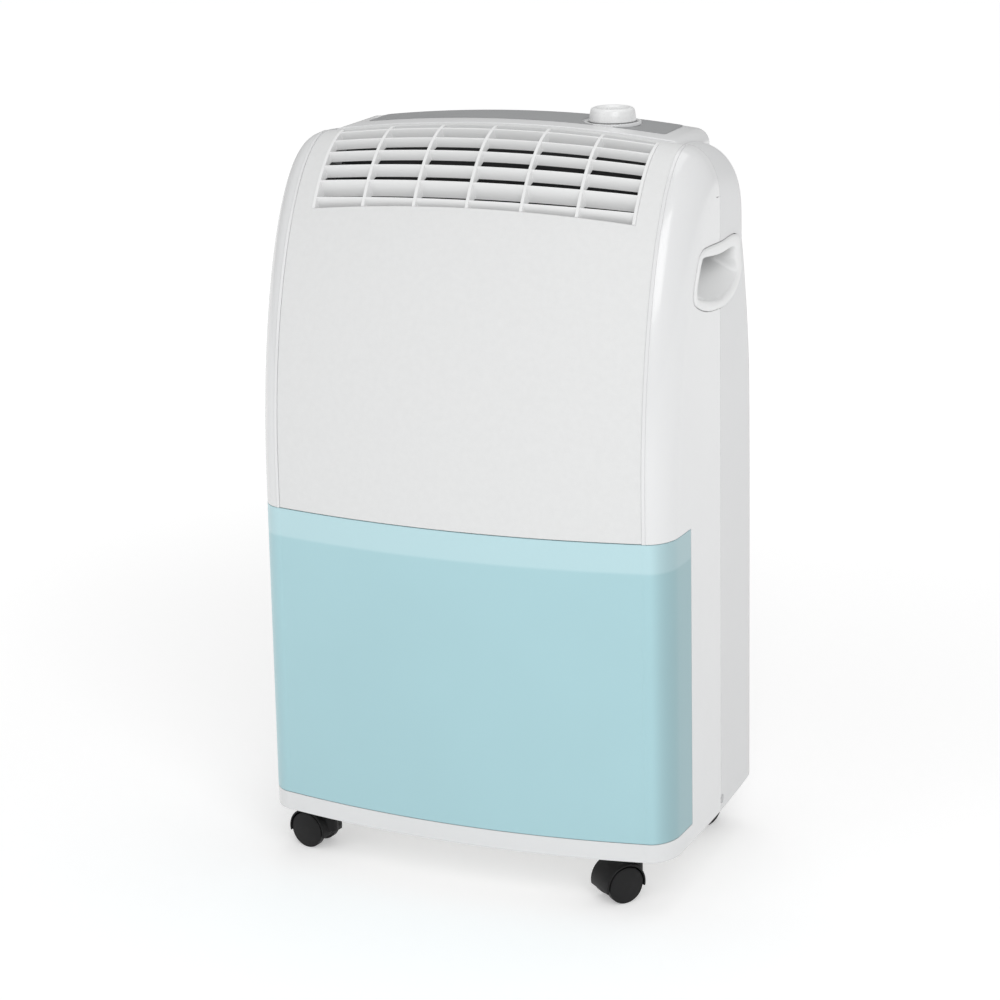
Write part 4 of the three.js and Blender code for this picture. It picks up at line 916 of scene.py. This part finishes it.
def overlay():
    """The printed film, laid over the bowed top as strips from its front to its rear edge."""
    half = FILM_HALF

    def ends(x):
        t = (x + half) / (2 * half)
        front = FILM_FRONT[0] * (1 - t) ** 2 + 2 * t * (1 - t) * FILM_FRONT[1] + FILM_FRONT[2] * t * t
        near = max(0.0, FILM_CORNER - (half - abs(x)))
        pull = FILM_CORNER - math.sqrt(max(0.0, FILM_CORNER ** 2 - near ** 2))
        return front + pull, FILM_REAR - pull

    rings = []
    middle = np.linspace(-half + 3, half - 3, 60)
    for x in [-half, -half + 0.4, -half + 1.2, *middle, half - 1.2, half - 0.4, half]:
        front, back = ends(x)
        low, high = console_top(x) - FILM_SUNK, console_top(x) + FILM_PROUD
        rings.append([(x, front, low), *[(x, y, high) for y in np.linspace(front, back, 12)], (x, back, low)])
    sheet = loft("console_overlay_film", rings)
    x, y = KNOB_XY
    cut(sheet, rod("z", RECESS_R[1], (CONSOLE_Z, TOP), (x, y, 0), ROUND))
    return finish_piece(sheet, "body", "film", "overlay_grey", "console_overlay")


def bezel():
    x, y = KNOB_XY
    top = console_top(x)
    profile = fillet([(19.4, top - 1.3), (22.2, top - 1.3), (21.9, top + 1.1), (20.2, top + 1.1),
                      (19.4, top)], [0, 0, 0.5, 0.5, 0.3], 4)
    ring = turned("knob_bezel", "z", [*profile, profile[0]], (x, y, 0), ROUND)
    return finish_piece(ring, "body", "casing", "casing_white")


KNOB_LIFT = 1.6
SPINDLE = (3, 23)      # radius and length below the knob


def knob():
    x, y = KNOB_XY
    base = console_top(x) + KNOB_LIFT
    top = base + KNOB_HEIGHT
    radius, length = SPINDLE
    profile = [(0, base - length), (radius, base - length), (radius, base - 0.6), (17.2, base - 0.6)]
    profile += fillet([(17.2, base - 0.6), (18.2, base + 0.1), (17.6, base + 4.8), (16.7, top - 1.0),
                       (14.4, top + 0.05), (12.6, top), (11.6, top - 0.5), (9.4, top - 1.6), (0, top - 2.2)],
                      [0, 0.5, 4, 2.6, 1.6, 0.6, 1.5, 3, 0], 5, closed=False)[1:]
    dial = turned("humidistat_knob_dial", "z", profile, (x, y, 0), ROUND)
    mark = moved(box((-0.55, 0.55), (-12, -6), (top - 1.9, top + 2)), (x, y, 0))
    cut(dial, mark)
    return finish_piece(dial, "knob", "knob", "casing_white", "humidistat_knob", angle=40)


# ---- tank -----------------------------------------------------------------------------------
TANK_GAP = 0.6
TANK_REAR = {"inset": 8.0, "y": -8, "top": 290}   # the narrower half that goes into the cabinet


def tank():
    front_y, rear_y, top = TANK_SIDE_Y - TANK_GAP, TANK_REAR["y"], TANK_REAR["top"]
    front = keep(skin(0.0), wide((-FAR, front_y), TANK_Z))
    rear = keep(skin(TANK_REAR["inset"]), wide((-60, rear_y), (TANK_Z[0], top)))
    body = join(front, rear)
    inside = (TANK_Z[0] + TANK_WALL, TOP)
    cut(body, keep(skin(TANK_WALL), wide((-FAR, front_y - TANK_WALL), inside)),
        keep(skin(TANK_REAR["inset"] + TANK_WALL), wide((-70, rear_y - TANK_WALL), inside)),
        box((-165, 165), (-46, 0), (top, TOP)))
    body.name = "water_tank_shell"
    return finish_piece(body, "tank", "tank", "tank_blue", "water_tank")


# ---- screws, lead ---------------------------------------------------------------------------
CROSS = (1.9, 0.35)    # half length and half width of the recess's arms


def screw(name, axis, at, way, node):
    """A pan head with a cross recess."""
    head = [(0, -13), (1.5, -13), (1.5, -1.2), (3.1, -1.2), (3.2, -0.9), (3.0, -0.35), (2.2, -0.1), (0, 0)]
    body = turned(name, axis, [(r, h * way) for r, h in head], at, 40)
    for a, b in (CROSS, CROSS[::-1]):
        slot_outline = [(-a, -b), (a, -b), (a, b), (-a, b)]
        cut(body, moved(prism(axis, slot_outline, sorted((-0.7 * way, 1.0 * way))), at))
    return finish_piece(body, "body", "screw", "screw_steel", node)


def tube(name, points, radius, steps=8, sides=20):
    """A round tube along a smooth path through the points, closed at both ends."""
    pts = [np.array(p, float) for p in points]
    pts = [2 * pts[0] - pts[1], *pts, 2 * pts[-1] - pts[-2]]
    path = []
    for i in range(1, len(pts) - 2):
        p0, p1, p2, p3 = pts[i - 1:i + 3]
        path += [spline(p0, p1, p2, p3, s / steps) for s in range(steps)]
    path.append(pts[-2])
    rings = []
    side = None
    for i, p in enumerate(path):
        way = path[min(i + 1, len(path) - 1)] - path[max(i - 1, 0)]
        way /= np.linalg.norm(way)
        if side is None:
            side = np.cross(way, (0.3, 0.2, 0.9))
        side = side - way * np.dot(side, way)
        side /= np.linalg.norm(side)
        up = np.cross(way, side)
        rings.append([tuple(p + radius * (math.cos(a) * side + math.sin(a) * up))
                      for a in np.linspace(0, 2 * math.pi, sides, endpoint=False)])
    return loft(name, rings)


COIL_POINTS = 18
COIL_TURN = 3 * math.pi


def power_cord():
    """From the gland up to the hooks, one and a half turns round them, and down to the plug."""
    points = [(GLAND_X, 97, GLAND_Z), (GLAND_X, 105, GLAND_Z), (GLAND_X, 113.5, GLAND_Z),
              (GLAND_X - 1, 118, GLAND_Z + 7), (GLAND_X - 3, CORD_Y[0], GLAND_Z + 20),
              (CORD_X - COIL_R, CORD_Y[0], GLAND_Z + 50)]
    for i in range(COIL_POINTS + 1):
        angle = math.pi - COIL_TURN * i / COIL_POINTS
        points.append((CORD_X + COIL_R * math.cos(angle), mix(*CORD_Y, i / COIL_POINTS),
                       CORD_Z + COIL_R * math.sin(angle)))
    points.append((CORD_X + COIL_R, CORD_Y[1], PLUG_Z[1] + 1))
    lead = tube("power_cord_lead", points, CORD_R)
    return finish_piece(lead, "body", "rubber", "cord_rubber", "power_cord")


PIN_X = 9.5


def mains_plug():
    x, y = CORD_X + COIL_R, CORD_Y[1]
    outline = fillet([(-17, -3), (-12, -6.8), (12, -6.8), (17, -3), (17, 3), (12, 6.8), (-12, 6.8), (-17, 3)],
                     2.5, 4)
    stops = [(PLUG_Z[0], 0.94), (PLUG_Z[0] + 0.5, 0.985), (PLUG_Z[0] + 1.5, 1.0), (PLUG_Z[0] + 22, 1.0),
             (PLUG_Z[1] - 6, 0.86), (PLUG_Z[1] - 1, 0.62), (PLUG_Z[1], 0.5)]
    grip = loft("mains_plug_body", [[(x + a * s, y + b * s, z) for a, b in outline] for z, s in stops])
    base = PLUG_Z[0]
    pin = [(0, base - 19), (1.4, base - 19), (2, base - 18), (2, base + 2), (0, base + 2)]
    join(grip, *[turned("pin", "z", pin, (x + shift, y, 0), 32) for shift in (-PIN_X, PIN_X)])
    return finish_piece(grip, "body", "black", "black_plastic", "mains_plug")


# ---- castors --------------------------------------------------------------------------------
TRAIL = 14.3           # from the stem to the axle
AXLE_Z = 15.0          # also the wheel's radius
HOOD_R, HALF_W = 17.5, 12.7
WEB, WEB_R = 5.6, 16.4
ROOM_R, ROOM_W = 15.9, 11.2
STEM_HOLE, AXLE_HOLE = 4.3, 2.3


def turn_castor(obj, at, yaw):
    """From the castor's own frame, stem at the origin and wheels trailing along +X, to its place."""
    unshift = Matrix.Translation((0, -SHIFT_Y, 0))
    place = Matrix.Translation((at[0] * MM, at[1] * MM + SHIFT_Y, 0))
    obj.data.transform(place @ Matrix.Rotation(yaw, 4, "Z") @ unshift)
    obj.data.update()
    return obj


def castor_hood(name):
    """The hood over both wheels, the web between them and the boss round the stem."""
    section = fillet([(-HALF_W, HOOD_R - 1.5), (-HALF_W, HOOD_R), (HALF_W, HOOD_R), (HALF_W, HOOD_R - 1.5)],
                     [0.4, 1.1, 1.1, 0.4], 4)
    rings = []
    for angle in np.radians(np.linspace(-12, 192, 49)):
        rings.append([(TRAIL + r * math.cos(angle), y, AXLE_Z + r * math.sin(angle)) for y, r in section])
    cover = loft(name, rings)
    web_outline = [(AXLE_Z + WEB_R * math.sin(a), TRAIL + WEB_R * math.cos(a))
                   for a in np.radians(np.linspace(-8, 188, 40))]
    web_outline += [(AXLE_Z - 7.5, TRAIL - 10), (AXLE_Z - 7.5, TRAIL + 10)]
    web = prism("y", web_outline, (-WEB + 0.2, WEB - 0.2))
    profile = [(0, AXLE_Z), (7, AXLE_Z), (7, 36.6), (6.5, 37.6), (5.8, 38), (0, 38)]
    join(cover, web, turned("boss", "z", profile, (0, 0, 0), 48))
    axle = (TRAIL, 0, AXLE_Z)
    room = [rod("y", ROOM_R, reach, axle, 64) for reach in ((WEB, ROOM_W), (-ROOM_W, -WEB))]
    cut(cover, *room, rod("z", STEM_HOLE, (13, 60), (0, 0, 0), 32), rod("y", AXLE_HOLE, (-20, 20), axle, 32))
    return cover


def castor_wheel(name, side):
    """Tread, shoulder, rim groove and a domed face."""
    inner, tread = WEB + 0.3, AXLE_Z
    profile = [(AXLE_HOLE, 11), (AXLE_HOLE, inner), (13.6, inner)]
    profile += fillet([(13.6, inner), (tread, WEB + 1.5), (tread, 11.9), (14.5, 12.7), (14.1, 12.75),
                       (13.9, 12.5), (13.6, 12.7), (8, 13.2), (4, 13.5), (0, 13.6)],
                      [0, 0.8, 0.5, 0.3, 0.1, 0.1, 0.3, 3, 3, 0], 4, closed=False)[1:]
    profile += [(0, 11), (AXLE_HOLE, 11)]
    return turned(name, "y", [(r, side * h) for r, h in profile], (TRAIL, 0, AXLE_Z), 72)


CORNERS = ("front_left", "front_right", "rear_left", "rear_right")


def castors():
    for word in CORNERS:
        stem = JOINTS["castor_%s_swivel" % word]["pos_m"]
        axle = JOINTS["wheel_%s_a_spin" % word]["pos_m"]
        yaw = math.atan2(axle[1] - stem[1], axle[0] - stem[0])
        at = (stem[0] / MM, (stem[1] - SHIFT_Y) / MM)
        hood = turn_castor(castor_hood("castor_%s_cover" % word), at, yaw)
        finish_piece(hood, "castor_" + word, "castor", "castor_black", "castor_%s_hood" % word)
        for letter, side in (("a", -1), ("b", 1)):
            wheel = turn_castor(castor_wheel("castor_%s_tyre_%s" % (word, letter), side), at, yaw)
            finish_piece(wheel, "wheel_%s_%s" % (word, letter), "castor", "castor_black",
                         "castor_%s_wheel_%s" % (word, letter))


# ---- build ----------------------------------------------------------------------------------
front_casing()
front_panel()
rear_casing()
outlet()
duct()
console()
overlay()
bezel()
knob()
tank()
for side, word in ((-1, "left"), (1, "right")):
    handle_cup(side, word)
    head_x = side_wall_x(SCREW["y"], SCREW["z"]) - SCREW["sunk"]
    screw("seam_screw_%s_head" % word, "x", (side * head_x, SCREW["y"], SCREW["z"]), side,
          "seam_screw_%s" % word)
    screw("rear_screw_%s_head" % word, "y", (side * REAR_SCREW["x"], REAR_Y - 1.0, REAR_SCREW["z"]), 1,
          "rear_screw_%s" % word)
power_cord()
mains_plug()
castors()

# CAD nodes that are shown as they are, by finish
CARRIED_EDGE = 0.4
CARRIED = {
    "inner": ("base_tray", "tank_lid", "drip_tray", "tank_switch_plunger", "chassis_partition"),
    "rear": ("intake_grille",),
    "duct": ("fan_shroud",),
    "filter": ("air_filter",),
    "foam": ("tank_float",),
    "black": ("humidistat_body", "tank_switch_body", "fan_impeller"),
    "rubber": ("cord_gland", "drain_bung", "compressor_grommet_1", "compressor_grommet_2",
               "compressor_grommet_3"),
    "compressor": ("compressor",),
    "aluminium": ("evaporator_coil", "condenser_coil", "run_capacitor"),
    "copper": ("discharge_pipe", "suction_pipe"),
    "steel": ("fan_motor", *["castor_%s_%s" % (c, p) for c in CORNERS for p in ("stem", "axle")]),
}
for finish, names in CARRIED.items():
    for name in names:
        node = frame["nodes"][name]
        node.data.materials.clear()
        node.data.materials.append(MATERIALS[finish])
        rounding = node.modifiers.new("rounding", "BEVEL")
        rounding.width = CARRIED_EDGE * MM
        rounding.segments = 2
        rounding.limit_method = "ANGLE"
        rounding.angle_limit = math.radians(40)

# ---- stage, light, camera -------------------------------------------------------------------
FLOOR_TONES = (0.79, 0.81)
GLOW_REACH = (0.2, 2.0)          # metres from the machine
GLOW = (0.36, 0.64)
WORLD_LIGHT = 0.45
AIM_Z = 0.32


def floor_material():
    """Pale floor that grows lighter away from the machine."""
    material, tree, shader = node_material("pale_floor")
    set_inputs(shader, {"Roughness": 0.9, "Specular IOR Level": 0.1, "Emission Color": WHITE})
    cloud = add_node(tree, "ShaderNodeTexNoise", Scale=3.0)
    ramp = add_node(tree, "ShaderNodeValToRGB")
    for element, tone in zip(ramp.color_ramp.elements, FLOOR_TONES):
        element.color = (tone, tone, tone, 1)
    tree.links.new(cloud.outputs["Fac"], ramp.inputs["Fac"])
    tree.links.new(ramp.outputs["Color"], shader.inputs["Base Color"])
    where = add_node(tree, "ShaderNodeTexCoord")
    away = add_node(tree, "ShaderNodeVectorMath", operation="LENGTH")
    tree.links.new(where.outputs["Object"], away.inputs[0])
    tree.links.new(smooth_level(tree, away.outputs["Value"], GLOW_REACH, GLOW),
                   shader.inputs["Emission Strength"])
    return material


bpy.ops.mesh.primitive_plane_add(size=40, location=(0, 0, 0))
floor = bpy.context.object
floor.name = "studio_floor"
floor.data.materials.append(floor_material())

world = bpy.data.worlds.new("studio")
world.use_nodes = True
set_inputs(world.node_tree.nodes["Background"], {"Color": WHITE, "Strength": WORLD_LIGHT})
SCENE.world = world


def area_light(name, azimuth, height, distance, size, power):
    """Azimuth in degrees from the front towards +X; metres and watts."""
    data = bpy.data.lights.new(name, "AREA")
    data.shape = "RECTANGLE"
    data.size, data.size_y = size
    data.energy = power
    light = bpy.data.objects.new(name, data)
    angle = math.radians(azimuth)
    at = Vector((distance * math.sin(angle), -distance * math.cos(angle), height))
    light.location = at
    light.rotation_euler = (Vector((0, 0, AIM_Z)) - at).to_track_quat("-Z", "Y").to_euler()
    SCENE.collection.objects.link(light)
    return light


area_light("key", 34, 1.9, 2.2, (1.5, 1.5), 24)
area_light("fill", -35, 1.3, 2.2, (1.3, 1.3), 5)
area_light("top", 180, 2.4, 0.5, (1.5, 1.5), 10)

camera_data = bpy.data.cameras.new("camera")
camera_data.lens = 87.9
camera_data.sensor_width = 36
camera_data.shift_x = 0.0139
camera_data.shift_y = 0.0032
camera = bpy.data.objects.new("camera", camera_data)
ROLL = math.radians(-1.215)
EYE = Vector((0.6876, -1.7049 + SHIFT_Y, 0.8536))
TARGET = Vector((0, -0.0278 + SHIFT_Y, 0.2966))
camera.matrix_world = (Matrix.Translation(EYE) @ (TARGET - EYE).to_track_quat("-Z", "Y").to_matrix().to_4x4()
                       @ Matrix.Rotation(ROLL, 4, "Z"))
SCENE.collection.objects.link(camera)
SCENE.camera = camera
SCENE.view_settings.view_transform = "Standard"
